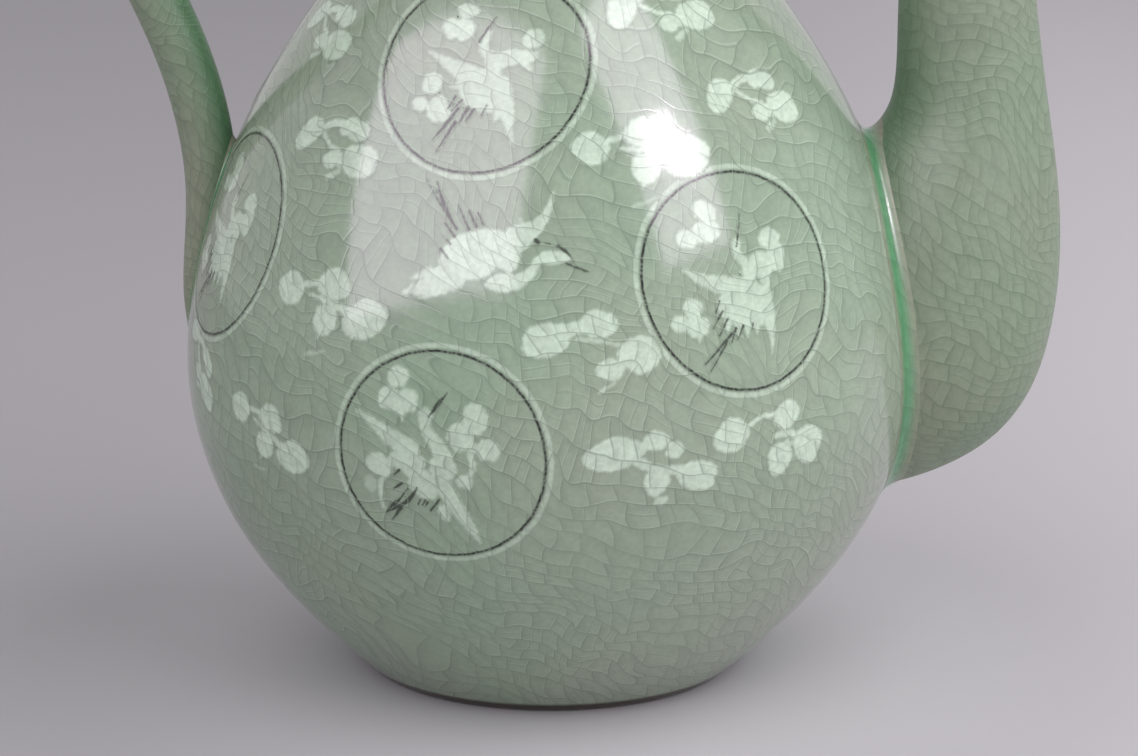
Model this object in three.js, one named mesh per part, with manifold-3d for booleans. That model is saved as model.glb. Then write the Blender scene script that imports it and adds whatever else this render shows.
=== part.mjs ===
// Double gourd ewer in glazed stoneware, with a spout, a looped handle and a lift-off lid.
// Millimetres, +Z up. The pot's axis is x = y = 0 and its foot stands on z = 0.
// The spout is towards +X and the handle towards -X.
import * as THREE from 'three';
import { mergeVertices } from 'three/addons/utils/BufferGeometryUtils.js';
import Module from 'manifold-3d';

const wasm = await Module();
wasm.setup();

// Clearance between pieces that touch
const GAP = 0.3;

// Pot outline: the radius of each point that it runs through, and its height above the last
const FOOT_RADIUS = 37.5;
const FLARE_RADIUS = 52;
const FLARE_HEIGHT = 14;
const UNDERBELLY_RADIUS = 66.6;
const UNDERBELLY_HEIGHT = 20;
const BELLY_RADIUS = 74.8;
const BELLY_HEIGHT = 28;
const SHOULDER_RADIUS = 71.6;
const SHOULDER_HEIGHT = 26;
const UPPER_SHOULDER_RADIUS = 60.3;
const UPPER_SHOULDER_HEIGHT = 30;
const SLOPE_RADIUS = 38;
const SLOPE_HEIGHT = 32;
const THROAT_RADIUS = 21.5;
const THROAT_HEIGHT = 22;
const WAIST_RADIUS = 18;
const WAIST_HEIGHT = 15;
const LIFT_RADIUS = 24;
const LIFT_HEIGHT = 13;
const UPPER_FLARE_RADIUS = 34.5;
const UPPER_FLARE_HEIGHT = 13;
const UPPER_BELLY_RADIUS = 38;
const UPPER_BELLY_HEIGHT = 14;
const UPPER_CROWN_RADIUS = 31.5;
const UPPER_CROWN_HEIGHT = 16;
const NECK_RADIUS = 16;
const NECK_HEIGHT = 11;
const MOUTH_RADIUS = 16.5;
const MOUTH_HEIGHT = 9;
const MOUTH_BORE_RADIUS = 12.8;

// Levels above the surface that the foot stands on
const BELLY_LEVEL = FLARE_HEIGHT + UNDERBELLY_HEIGHT + BELLY_HEIGHT;
const SLOPE_LEVEL = BELLY_LEVEL + SHOULDER_HEIGHT + UPPER_SHOULDER_HEIGHT + SLOPE_HEIGHT;
const WAIST_LEVEL = SLOPE_LEVEL + THROAT_HEIGHT + WAIST_HEIGHT;
const UPPER_BELLY_LEVEL = WAIST_LEVEL + LIFT_HEIGHT + UPPER_FLARE_HEIGHT + UPPER_BELLY_HEIGHT;
const MOUTH_LEVEL = UPPER_BELLY_LEVEL + UPPER_CROWN_HEIGHT + NECK_HEIGHT + MOUTH_HEIGHT;

// Walls of the thrown pieces
const LOWER_WALL = 4.5;
const UPPER_WALL = 3.6;
const FLOOR_THICKNESS = 6;
const FOOT_RING_WIDTH = 6;
const FOOT_RECESS_DEPTH = 2.5;
const SLIP_THICKNESS = 1.2;

// Facets round the pot and along its outlines
const LOWER_FACETS = 48;
const UPPER_FACETS = 36;
const OUTLINE_STEPS = 34;

// Spout, from its root to its tip: how far out and up from the belly's widest point its outer
// and inner edges lie, and its half width across
const SPOUT_STATIONS = [
  { outer: [-14.8, -26], inner: [-30.8, 0], halfWidth: 12 },
  { outer: [-2.8, -23.6], inner: [-26.8, 10], halfWidth: 17 },
  { outer: [7.2, -20], inner: [-22.8, 20], halfWidth: 21 },
  { outer: [17.2, -13.5], inner: [-19.8, 29], halfWidth: 23.5 },
  { outer: [24.2, -4], inner: [-16.8, 36], halfWidth: 24 },
  { outer: [28.2, 9], inner: [-13.8, 42.5], halfWidth: 23 },
  { outer: [29.6, 26], inner: [-10.3, 48.5], halfWidth: 20.5 },
  { outer: [28.2, 43.6], inner: [-6.4, 54], halfWidth: 17.2 },
  { outer: [26.2, 56], inner: [-4.9, 59.5], halfWidth: 15.3 },
  { outer: [23.2, 76.3], inner: [-4.5, 76.3], halfWidth: 13.4 },
  { outer: [21, 93], inner: [-3.2, 93], halfWidth: 11.8 },
  { outer: [20.2, 110], inner: [-0.2, 110.5], halfWidth: 10.3 },
  { outer: [22.2, 128], inner: [5.2, 128], halfWidth: 9 },
  { outer: [26.7, 144], inner: [12.2, 144.6], halfWidth: 7.7 },
  { outer: [32.2, 159], inner: [19.5, 161], halfWidth: 6.6 },
];
const SPOUT_WALL = 3;
const SPOUT_SIDES = 20;
const SPOUT_RINGS = 26;
const POUR_HOLE_RADIUS = 6.5;
const POUR_HOLE_RISE = 16;
const POUR_HOLE_SIDES = 18;

// Handle: how far its middle line stands off the pot's wall at each rise above the belly, then
// how far out and up it lies from the upper belly, and where it is thinner or wider than the rod
const ROD_HALF_THICKNESS = 5.5;
const ROD_HALF_WIDTH = 6.4;
const HANDLE_LOWER_STATIONS = [
  { standoff: -3.3, rise: 6, halfThickness: 2.8, halfWidth: 3.8 },
  { standoff: -2, rise: 15, halfThickness: 3.6, halfWidth: 4.7 },
  { standoff: -0.4, rise: 28, halfThickness: 4.5, halfWidth: 5.7 },
  { standoff: 2.3, rise: 40, halfThickness: 5.2, halfWidth: 6.2 },
  { standoff: 10.1, rise: 54 },
  { standoff: 21.3, rise: 66.5 },
  { standoff: 33.3, rise: 77 },
  { standoff: 51.6, rise: 92 },
  { standoff: 74.2, rise: 112 },
];
const HANDLE_UPPER_STATIONS = [
  { out: 62.7, rise: -31 },
  { out: 60.5, rise: -11 },
  { out: 51, rise: 4.5 },
  { out: 35, rise: 12 },
  { out: 18, rise: 11.5, halfThickness: 5.6, halfWidth: 6.6 },
  { out: 4, rise: 6, halfThickness: 6.2, halfWidth: 7.4 },
  { out: -10, rise: -2, halfThickness: 6.8, halfWidth: 8 },
];
const HANDLE_SIDES = 14;
const HANDLE_RINGS = 38;

// Luting: the clay fillet round a joint, across the limb and up from the pot's wall
const LUTING_WIDTH = 2.4;
const LUTING_HEIGHT = 2.4;
const HANDLE_LUTING_RISE = 30;

// Tie loops
const LOOP_RADIUS = 5.2;
const LOOP_ROD_RADIUS = 1.7;
const LOOP_RISE = 2.6;
const LOOP_SIDES = 8;
const LOOP_STEPS = 22;
const HANDLE_LOOP_PLACE = 0.79;

// Lid
const LID_RADIUS = 18.5;
const LID_EDGE_THICKNESS = 2.6;
const LID_DOME_RISE = 9;
const LID_CROWN_RADIUS = 5;
const LID_WALL = 2.8;
const LID_CLEARANCE = 0.8;
const LID_FLANGE_DEPTH = 9;
const LID_FLANGE_WALL = 2.6;
const LID_LOOP_OFFSET = 12.5;
const LID_FACETS = 28;
const LID_DOME_STEPS = 8;
const KNOB_STEM_RADIUS = 3.2;
const KNOB_RADIUS = 5.6;
const KNOB_HEIGHT = 12.5;
const KNOB_FACETS = 20;
const KNOB_STEPS = 10;

// Glaze colours
const CELADON = 0x9aa596;
const POOLED_CELADON = 0x7c8a72;
const SLIP = 0xa9aa9a;

function glaze(colour, roughness) {
  return new THREE.MeshStandardMaterial({ color: colour, roughness, metalness: 0 });
}

// Makes a solid of a closed geometry whose shared vertices are merged first.
function toSolid(geometry) {
  const bare = geometry.index ? geometry.toNonIndexed() : geometry.clone();
  for (const name of Object.keys(bare.attributes)) {
    if (name !== 'position') bare.deleteAttribute(name);
  }
  const merged = mergeVertices(bare, 1e-4);
  return new wasm.Manifold(new wasm.Mesh({
    numProp: 3,
    vertProperties: new Float32Array(merged.attributes.position.array),
    triVerts: new Uint32Array(merged.index.array),
  }));
}

function toGeometry(solid) {
  const mesh = solid.getMesh();
  const geometry = new THREE.BufferGeometry();
  geometry.setAttribute('position', new THREE.BufferAttribute(mesh.vertProperties, 3));
  geometry.setIndex(new THREE.BufferAttribute(mesh.triVerts, 1));
  return geometry;
}

// Turns a closed outline of [radius, height] points round the pot's axis.
function turned(outline, facets) {
  const points = outline.map(([r, z]) => new THREE.Vector2(Math.max(r, 0), z));
  return toSolid(new THREE.LatheGeometry(points, facets).rotateX(Math.PI / 2));
}

// Moves an outline that runs upwards outwards by a distance, square to itself.
function offsetOutline(points, distance) {
  return points.map((point, i) => {
    const before = points[Math.max(i - 1, 0)];
    const after = points[Math.min(i + 1, points.length - 1)];
    const length = Math.hypot(after[0] - before[0], after[1] - before[1]);
    const outX = (after[1] - before[1]) / length;
    const outZ = -(after[0] - before[0]) / length;
    return [point[0] + outX * distance, point[1] + outZ * distance];
  });
}

// Cuts an outline that runs upwards to the stretch between two heights.
function between(points, low, high) {
  const kept = [];
  points.forEach((point, i) => {
    const next = points[i + 1];
    if (point[1] >= low && point[1] <= high) kept.push(point);
    if (!next) return;
    for (const level of [low, high]) {
      if (point[1] < level && next[1] > level) {
        const share = (level - point[1]) / (next[1] - point[1]);
        kept.push([point[0] + share * (next[0] - point[0]), level]);
      }
    }
  });
  return kept;
}

// Samples a smooth outline through its points.
function smoothOutline(points, steps) {
  const curve = new THREE.SplineCurve(points.map(([r, z]) => new THREE.Vector2(r, z)));
  return curve.getSpacedPoints(steps).map((point) => [point.x, point.y]);
}

// Adds up the heights of [radius, height] steps to the levels of an outline's points.
function stacked(steps) {
  let level = 0;
  return steps.map(([radius, height]) => {
    level += height;
    return [radius, level];
  });
}

const POT_OUTLINE = smoothOutline(stacked([
  [FOOT_RADIUS, 0],
  [FLARE_RADIUS, FLARE_HEIGHT],
  [UNDERBELLY_RADIUS, UNDERBELLY_HEIGHT],
  [BELLY_RADIUS, BELLY_HEIGHT],
  [SHOULDER_RADIUS, SHOULDER_HEIGHT],
  [UPPER_SHOULDER_RADIUS, UPPER_SHOULDER_HEIGHT],
  [SLOPE_RADIUS, SLOPE_HEIGHT],
  [THROAT_RADIUS, THROAT_HEIGHT],
  [WAIST_RADIUS, WAIST_HEIGHT],
  [LIFT_RADIUS, LIFT_HEIGHT],
  [UPPER_FLARE_RADIUS, UPPER_FLARE_HEIGHT],
  [UPPER_BELLY_RADIUS, UPPER_BELLY_HEIGHT],
  [UPPER_CROWN_RADIUS, UPPER_CROWN_HEIGHT],
  [NECK_RADIUS, NECK_HEIGHT],
  [MOUTH_RADIUS, MOUTH_HEIGHT],
]), OUTLINE_STEPS);
const LOWER_OUTLINE = between(POT_OUTLINE, 0, WAIST_LEVEL);
const UPPER_OUTLINE = between(POT_OUTLINE, WAIST_LEVEL, MOUTH_LEVEL);

// The slip ring lies between the two bulbs, with the waist level at its middle.
const SLIP_BOTTOM = WAIST_LEVEL - SLIP_THICKNESS / 2;
const SLIP_TOP = WAIST_LEVEL + SLIP_THICKNESS / 2;

// The lower bulb filled solid and grown by a distance, for cutting what seats on it.
function filledLowerBulb(growth) {
  const outline = offsetOutline(LOWER_OUTLINE, growth);
  const bottom = outline[0][1];
  const top = outline[outline.length - 1][1];
  return turned([[0, bottom], ...outline, [0, top]], LOWER_FACETS);
}

function filledUpperBulb(growth) {
  const outline = offsetOutline(UPPER_OUTLINE, growth);
  const bottom = outline[0][1];
  const top = outline[outline.length - 1][1];
  return turned([[0, bottom], ...outline, [0, top]], UPPER_FACETS);
}

function makeLowerBulb() {
  const rimHeight = SLIP_BOTTOM - GAP;
  const outer = between(LOWER_OUTLINE, 0, rimHeight);
  const cavity = between(offsetOutline(LOWER_OUTLINE, -LOWER_WALL), FLOOR_THICKNESS, rimHeight);
  const recessRadius = FOOT_RADIUS - FOOT_RING_WIDTH;
  const shell = turned([
    [0, FOOT_RECESS_DEPTH],
    [recessRadius - FOOT_RECESS_DEPTH, FOOT_RECESS_DEPTH],
    [recessRadius, 0],
    ...outer,
    ...cavity.reverse(),
    [0, FLOOR_THICKNESS],
  ], LOWER_FACETS);
  const holeLength = BELLY_RADIUS;
  const radius = POUR_HOLE_RADIUS;
  const hole = new THREE.CylinderGeometry(radius, radius, holeLength, POUR_HOLE_SIDES);
  hole.rotateZ(Math.PI / 2);
  hole.translate(holeLength / 2 + BELLY_RADIUS / 2, 0, BELLY_LEVEL + POUR_HOLE_RISE);
  return shell.subtract(toSolid(hole));
}

function makeWaistSlip() {
  return turned([
    [WAIST_RADIUS - UPPER_WALL, SLIP_BOTTOM],
    [WAIST_RADIUS, SLIP_BOTTOM],
    [WAIST_RADIUS, SLIP_TOP],
    [WAIST_RADIUS - UPPER_WALL, SLIP_TOP],
    [WAIST_RADIUS - UPPER_WALL, SLIP_BOTTOM],
  ], UPPER_FACETS);
}

function makeUpperBulb() {
  const footHeight = SLIP_TOP + GAP;
  const outer = between(UPPER_OUTLINE, footHeight, MOUTH_LEVEL);
  const boreBottom = MOUTH_LEVEL - LID_FLANGE_DEPTH - 2 * LID_CLEARANCE;
  const inner = between(offsetOutline(UPPER_OUTLINE, -UPPER_WALL), footHeight, boreBottom)
    .filter(([r]) => r > MOUTH_BORE_RADIUS);
  inner.push([MOUTH_BORE_RADIUS, boreBottom], [MOUTH_BORE_RADIUS, MOUTH_LEVEL]);
  const loop = [...outer, ...inner.reverse()];
  return turned([...loop, loop[0]], UPPER_FACETS);
}

// Closes a row of rings, each with as many points, into one solid with flat ends.
function loft(rings) {
  const sides = rings[0].length;
  const centreOf = (ring) => ring
    .reduce((sum, point) => sum.add(point), new THREE.Vector3())
    .divideScalar(sides);
  const points = [...rings.flat(), centreOf(rings[0]), centreOf(rings[rings.length - 1])];
  const first = rings.length * sides;
  const last = first + 1;
  const triangles = [];
  for (let side = 0; side < sides; side += 1) {
    const next = (side + 1) % sides;
    for (let ring = 0; ring < rings.length - 1; ring += 1) {
      const low = ring * sides;
      const high = low + sides;
      triangles.push(low + side, low + next, high + next);
      triangles.push(low + side, high + next, high + side);
    }
    const top = (rings.length - 1) * sides;
    triangles.push(first, next, side);
    triangles.push(last, top + side, top + next);
  }
  const geometry = new THREE.BufferGeometry().setFromPoints(points);
  geometry.setIndex(triangles);
  return toSolid(geometry);
}

// An elliptical ring round a middle point: half of it along a vector, half along Y.
function ellipse(middle, across, halfWidth, sides) {
  return Array.from({ length: sides }, (_, i) => {
    const turn = (2 * Math.PI * i) / sides;
    return middle.clone()
      .addScaledVector(across, Math.cos(turn))
      .add(new THREE.Vector3(0, halfWidth * Math.sin(turn), 0));
  });
}

function smoothThrough(points, steps) {
  return new THREE.CatmullRomCurve3(points, false, 'centripetal').getPoints(steps);
}

// The spout's outside grown by a distance, and lengthened at the tip where asked.
function spoutForm(growth, tipExtension = 0) {
  const edge = ([out, rise], halfWidth) => (
    new THREE.Vector3(BELLY_RADIUS + out, halfWidth, BELLY_LEVEL + rise));
  const outer = smoothThrough(
    SPOUT_STATIONS.map((station) => edge(station.outer, station.halfWidth)),
    SPOUT_RINGS,
  );
  const inner = smoothThrough(
    SPOUT_STATIONS.map((station) => edge(station.inner, 0)),
    SPOUT_RINGS,
  );
  const rings = outer.map((point, i) => {
    const outside = new THREE.Vector3(point.x, 0, point.z);
    const middle = outside.clone().add(inner[i]).multiplyScalar(0.5);
    const across = outside.sub(middle);
    across.setLength(across.length() + growth);
    return ellipse(middle, across, point.y + growth, SPOUT_SIDES);
  });
  if (tipExtension > 0) {
    const tip = rings[rings.length - 1];
    const before = rings[rings.length - 2];
    const along = tip[0].clone().sub(before[0]).setLength(tipExtension);
    rings.push(tip.map((point) => point.clone().add(along)));
  }
  return loft(rings);
}

// The pot's outer radius at a height.
function wallRadius(height) {
  const above = POT_OUTLINE.findIndex(([, z]) => z >= height);
  const [lowRadius, lowHeight] = POT_OUTLINE[above - 1];
  const [highRadius, highHeight] = POT_OUTLINE[above];
  const share = (height - lowHeight) / (highHeight - lowHeight);
  return lowRadius + share * (highRadius - lowRadius);
}

// A handle station placed at a distance from the pot's axis and a height.
function placedStation(station, distance, height) {
  return {
    middle: new THREE.Vector3(-distance, 0, height),
    halfThickness: station.halfThickness ?? ROD_HALF_THICKNESS,
    halfWidth: station.halfWidth ?? ROD_HALF_WIDTH,
  };
}

const HANDLE_STATIONS = [
  ...HANDLE_LOWER_STATIONS.map((station) => {
    const height = BELLY_LEVEL + station.rise;
    return placedStation(station, wallRadius(height) + station.standoff, height);
  }),
  ...HANDLE_UPPER_STATIONS.map((station) => {
    const height = UPPER_BELLY_LEVEL + station.rise;
    return placedStation(station, UPPER_BELLY_RADIUS + station.out, height);
  }),
];
const HANDLE_LINE = HANDLE_STATIONS.map(({ middle }) => middle);

// The handle's rod grown by a distance.
function handleForm(growth) {
  const middles = smoothThrough(HANDLE_LINE, HANDLE_RINGS);
  const sizes = smoothThrough(
    HANDLE_STATIONS.map(({ middle, halfThickness, halfWidth }) => (
      new THREE.Vector3(halfThickness, halfWidth, middle.z))),
    HANDLE_RINGS,
  );
  const rings = middles.map((middle, i) => {
    const before = middles[Math.max(i - 1, 0)];
    const after = middles[Math.min(i + 1, HANDLE_RINGS)];
    const along = after.clone().sub(before).normalize();
    const across = new THREE.Vector3(along.z, 0, -along.x);
    across.setLength(sizes[i].x + growth);
    return ellipse(middle, across, sizes[i].y + growth, HANDLE_SIDES);
  });
  return loft(rings);
}

function makeSpout() {
  return spoutForm(0)
    .subtract(spoutForm(-SPOUT_WALL, SPOUT_WALL))
    .subtract(filledLowerBulb(GAP));
}

function makeSpoutLuting() {
  return spoutForm(GAP + LUTING_WIDTH)
    .intersect(filledLowerBulb(GAP + LUTING_HEIGHT))
    .subtract(spoutForm(GAP))
    .subtract(filledLowerBulb(GAP));
}

function makeHandle() {
  return handleForm(0)
    .subtract(filledLowerBulb(GAP))
    .subtract(filledUpperBulb(GAP));
}

// A block that holds everything above a height, for trimming.
function blockAbove(height) {
  const size = 4 * BELLY_RADIUS;
  const block = new THREE.BoxGeometry(size, size, size);
  block.translate(0, 0, height + size / 2);
  return toSolid(block);
}

function makeHandleLowerLuting() {
  return handleForm(GAP + LUTING_WIDTH)
    .intersect(filledLowerBulb(GAP + LUTING_HEIGHT))
    .subtract(handleForm(GAP))
    .subtract(filledLowerBulb(GAP))
    .intersect(blockAbove(BELLY_LEVEL + HANDLE_LUTING_RISE));
}

function makeHandleUpperLuting() {
  return handleForm(GAP + LUTING_WIDTH)
    .intersect(filledUpperBulb(GAP + LUTING_HEIGHT))
    .subtract(handleForm(GAP))
    .subtract(filledUpperBulb(GAP));
}

// A ring of rod standing in the plane of the handle and spout.
function tieRing(x, z) {
  const ring = new THREE.TorusGeometry(LOOP_RADIUS, LOOP_ROD_RADIUS, LOOP_SIDES, LOOP_STEPS);
  ring.rotateX(Math.PI / 2);
  ring.translate(x, 0, z);
  return toSolid(ring);
}

function makeHandleLoop() {
  const line = new THREE.CatmullRomCurve3(HANDLE_LINE, false, 'centripetal');
  const seat = line.getPoint(HANDLE_LOOP_PLACE);
  const along = line.getTangent(HANDLE_LOOP_PLACE);
  const outwards = new THREE.Vector3(-along.z, 0, along.x);
  seat.addScaledVector(outwards, ROD_HALF_THICKNESS + LOOP_RISE);
  return tieRing(seat.x, seat.z).subtract(handleForm(GAP));
}

// The lid's outline, from the underside of its edge up over the dome to its crown.
const LID_SEAT_HEIGHT = MOUTH_LEVEL + GAP;
const LID_EDGE_HEIGHT = LID_SEAT_HEIGHT + LID_EDGE_THICKNESS;
const LID_TOP_HEIGHT = LID_EDGE_HEIGHT + LID_DOME_RISE;

function lidDome(drop) {
  const arc = new THREE.CubicBezierCurve(
    new THREE.Vector2(LID_RADIUS - drop, LID_EDGE_HEIGHT),
    new THREE.Vector2(LID_RADIUS - drop - 1, LID_EDGE_HEIGHT + LID_DOME_RISE * 0.75),
    new THREE.Vector2(LID_CROWN_RADIUS + 6, LID_TOP_HEIGHT - drop),
    new THREE.Vector2(LID_CROWN_RADIUS, LID_TOP_HEIGHT - drop),
  );
  return arc.getPoints(LID_DOME_STEPS).map((point) => [point.x, point.y]);
}

function filledLid(growth) {
  const outline = offsetOutline([[LID_RADIUS, LID_SEAT_HEIGHT], ...lidDome(0)], growth);
  const top = outline[outline.length - 1][1];
  return turned([[0, LID_SEAT_HEIGHT], ...outline, [0, top]], LID_FACETS);
}

function makeLid() {
  const flangeRadius = MOUTH_BORE_RADIUS - LID_CLEARANCE;
  const boreRadius = flangeRadius - LID_FLANGE_WALL;
  const flangeBottom = LID_SEAT_HEIGHT - LID_FLANGE_DEPTH;
  const hollow = turned([
    [0, flangeBottom - 1],
    [boreRadius, flangeBottom - 1],
    [boreRadius, LID_EDGE_HEIGHT],
    [LID_CROWN_RADIUS, LID_TOP_HEIGHT - LID_WALL],
    [0, LID_TOP_HEIGHT - LID_WALL],
  ], LID_FACETS);
  const flange = turned([
    [0, flangeBottom],
    [flangeRadius, flangeBottom],
    [flangeRadius, LID_EDGE_HEIGHT],
    [0, LID_EDGE_HEIGHT],
  ], LID_FACETS);
  return filledLid(0).add(flange).subtract(hollow);
}

function makeLidKnob() {
  const base = LID_TOP_HEIGHT + GAP;
  const bud = new THREE.SplineCurve([
    new THREE.Vector2(KNOB_STEM_RADIUS + 0.8, base),
    new THREE.Vector2(KNOB_STEM_RADIUS, base + KNOB_HEIGHT * 0.16),
    new THREE.Vector2(KNOB_RADIUS, base + KNOB_HEIGHT * 0.48),
    new THREE.Vector2(KNOB_RADIUS * 0.62, base + KNOB_HEIGHT * 0.8),
    new THREE.Vector2(0, base + KNOB_HEIGHT),
  ]);
  const outline = bud.getPoints(KNOB_STEPS).map((point) => [point.x, point.y]);
  return turned([[0, base], ...outline], KNOB_FACETS);
}

function makeLidLoop() {
  const slope = lidDome(0).reverse();
  const seat = slope.find(([r]) => r >= LID_LOOP_OFFSET);
  return tieRing(-seat[0], seat[1] + LOOP_RISE).subtract(filledLid(GAP));
}

function piece(name, solid, material) {
  const mesh = new THREE.Mesh(toGeometry(solid), material);
  mesh.name = name;
  return mesh;
}

const celadon = glaze(CELADON, 0.15);
const pooled = glaze(POOLED_CELADON, 0.12);
const slip = glaze(SLIP, 0.5);

const pot = new THREE.Group();
pot.add(
  piece('lower_bulb', makeLowerBulb(), celadon),
  piece('waist_slip', makeWaistSlip(), slip),
  piece('upper_bulb', makeUpperBulb(), celadon),
);

const spout = new THREE.Group();
spout.add(
  piece('spout', makeSpout(), celadon),
  piece('spout_luting', makeSpoutLuting(), pooled),
);

const handle = new THREE.Group();
handle.add(
  piece('handle', makeHandle(), celadon),
  piece('handle_lower_luting', makeHandleLowerLuting(), pooled),
  piece('handle_upper_luting', makeHandleUpperLuting(), pooled),
  piece('handle_loop', makeHandleLoop(), celadon),
);

const lid = new THREE.Group();
lid.add(
  piece('lid', makeLid(), celadon),
  piece('lid_knob', makeLidKnob(), celadon),
  piece('lid_loop', makeLidLoop(), celadon),
);

const ewer = new THREE.Group();
ewer.add(pot, spout, handle, lid);

export default ewer;
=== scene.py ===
"""Looks of the double gourd ewer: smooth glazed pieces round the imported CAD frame.

Sizes are in millimetres and are turned into metres where a mesh is made.
The pot's axis is x = y = 0 and its foot stands on z = 0. The spout is towards +X.
"""

import logging
import math
import random
from dataclasses import dataclass, field, replace
from enum import Enum
from functools import cached_property
from typing import Callable, Sequence

import bmesh
import bpy
import numpy as np
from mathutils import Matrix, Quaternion, Vector


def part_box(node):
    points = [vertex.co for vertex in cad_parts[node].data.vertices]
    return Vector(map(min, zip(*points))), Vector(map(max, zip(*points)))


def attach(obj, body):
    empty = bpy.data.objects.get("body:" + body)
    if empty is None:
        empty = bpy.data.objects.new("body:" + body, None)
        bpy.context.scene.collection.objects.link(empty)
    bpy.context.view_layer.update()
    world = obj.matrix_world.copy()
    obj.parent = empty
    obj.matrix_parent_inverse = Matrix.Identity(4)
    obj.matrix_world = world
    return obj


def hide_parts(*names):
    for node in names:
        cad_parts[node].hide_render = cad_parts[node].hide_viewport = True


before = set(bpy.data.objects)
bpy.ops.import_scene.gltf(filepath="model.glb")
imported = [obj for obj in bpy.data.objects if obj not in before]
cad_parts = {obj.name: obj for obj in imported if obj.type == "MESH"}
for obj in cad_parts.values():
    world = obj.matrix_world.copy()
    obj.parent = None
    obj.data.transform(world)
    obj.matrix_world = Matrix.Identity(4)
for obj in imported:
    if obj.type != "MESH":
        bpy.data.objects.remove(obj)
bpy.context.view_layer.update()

LOG = logging.getLogger("ewer")
MM = 0.001
Point = tuple[float, float]
Loop = list[Vector]
Colour = tuple[float, float, float, float]
Maker = bmesh.types.BMesh
Socket = bpy.types.NodeSocket


def natural_spline(points: Sequence[Sequence[float]], count: int) -> np.ndarray:
    """Samples a smooth curve with an unbroken curvature through points.

    Args:
        points: the points it runs through, of any dimension.
        count: how many samples to give, ends included.

    Returns:
        An array with one row for each sample, evenly spaced along the chords.
    """
    knots = np.asarray(points, dtype=float)
    chord = np.concatenate([[0.0], np.cumsum(np.linalg.norm(np.diff(knots, axis=0), axis=1))])
    step = np.diff(chord)
    size = len(knots)
    matrix = np.eye(size)
    right = np.zeros_like(knots)
    for i in range(1, size - 1):
        matrix[i, i - 1] = step[i - 1]
        matrix[i, i] = 2 * (step[i - 1] + step[i])
        matrix[i, i + 1] = step[i]
        right[i] = 6 * ((knots[i + 1] - knots[i]) / step[i] - (knots[i] - knots[i - 1]) / step[i - 1])
    bend = np.linalg.solve(matrix, right)
    at = np.linspace(0.0, chord[-1], count)
    k = np.clip(np.searchsorted(chord, at, side="right") - 1, 0, size - 2)
    before = (at - chord[k])[:, None]
    after = (chord[k + 1] - at)[:, None]
    h = step[k][:, None]
    return (
        bend[k] * after**3 / (6 * h)
        + bend[k + 1] * before**3 / (6 * h)
        + (knots[k] / h - bend[k] * h / 6) * after
        + (knots[k + 1] / h - bend[k + 1] * h / 6) * before
    )


# Pieces are made of rings of points, which bridge_loops joins.


def finish_piece(name: str, mesh_maker: Maker, sharp_degrees: float = 50.0) -> bpy.types.Object:
    """Turns a bmesh in millimetres into a smooth-shaded object in metres.

    Args:
        name: the new object's name.
        mesh_maker: the mesh, which is freed here.
        sharp_degrees: edges that bend more than this stay sharp.

    Returns:
        The object, linked to the scene, at the origin.
    """
    bmesh.ops.scale(mesh_maker, vec=(MM, MM, MM), verts=mesh_maker.verts)
    mesh = bpy.data.meshes.new(name)
    mesh_maker.to_mesh(mesh)
    mesh_maker.free()
    mesh.shade_smooth()
    mesh.set_sharp_from_angle(angle=math.radians(sharp_degrees))
    piece = bpy.data.objects.new(name, mesh)
    bpy.context.scene.collection.objects.link(piece)
    return piece


def add_loop(mesh_maker: Maker, points: Loop) -> list[bmesh.types.BMEdge]:
    """Adds a closed loop of edges through points, made from a circle.

    Args:
        mesh_maker: the mesh that gets the loop.
        points: the loop's points in order.

    Returns:
        The loop's edges.
    """
    made = bmesh.ops.create_circle(mesh_maker, cap_ends=False, segments=len(points), radius=1.0)
    for vertex, point in zip(made["verts"], points):
        vertex.co = point
    return list({edge for vertex in made["verts"] for edge in vertex.link_edges})


def skin(
    loops: Sequence[Loop],
    closed: bool = False,
    pool_and_shade: Callable[[int, int], float] | None = None,
) -> Maker:
    """Joins loops, each with as many points, into one closed skin.

    Args:
        loops: the rings of points in order.
        closed: whether the last loop joins the first, else both ends are capped.
        pool_and_shade: gives how much glaze gathers at point i of loop k, from 0 to 1; on the spout and
            handle it also paints shade on the side facing the pot.

    Returns:
        The mesh, with its normals pointing out and an attribute named pool, which holds pooled glaze and
        painted shade.
    """
    mesh_maker = bmesh.new()
    layer = mesh_maker.verts.layers.float.new("pool_and_shade")
    rings = []
    for k, points in enumerate(loops):
        edges = add_loop(mesh_maker, points)
        rings.append(edges)
        if pool_and_shade is None:
            continue
        fresh = list(mesh_maker.verts)[-len(points):]
        for i, vertex in enumerate(fresh):
            vertex[layer] = pool_and_shade(k, i)
    for low, high in zip(rings, rings[1:]):
        bmesh.ops.bridge_loops(mesh_maker, edges=low + high)
    if closed:
        bmesh.ops.bridge_loops(mesh_maker, edges=rings[-1] + rings[0])
    else:
        for ring in (rings[0], rings[-1]):
            bmesh.ops.contextual_create(mesh_maker, geom=ring)
    bmesh.ops.recalc_face_normals(mesh_maker, faces=mesh_maker.faces)
    return mesh_maker


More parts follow.
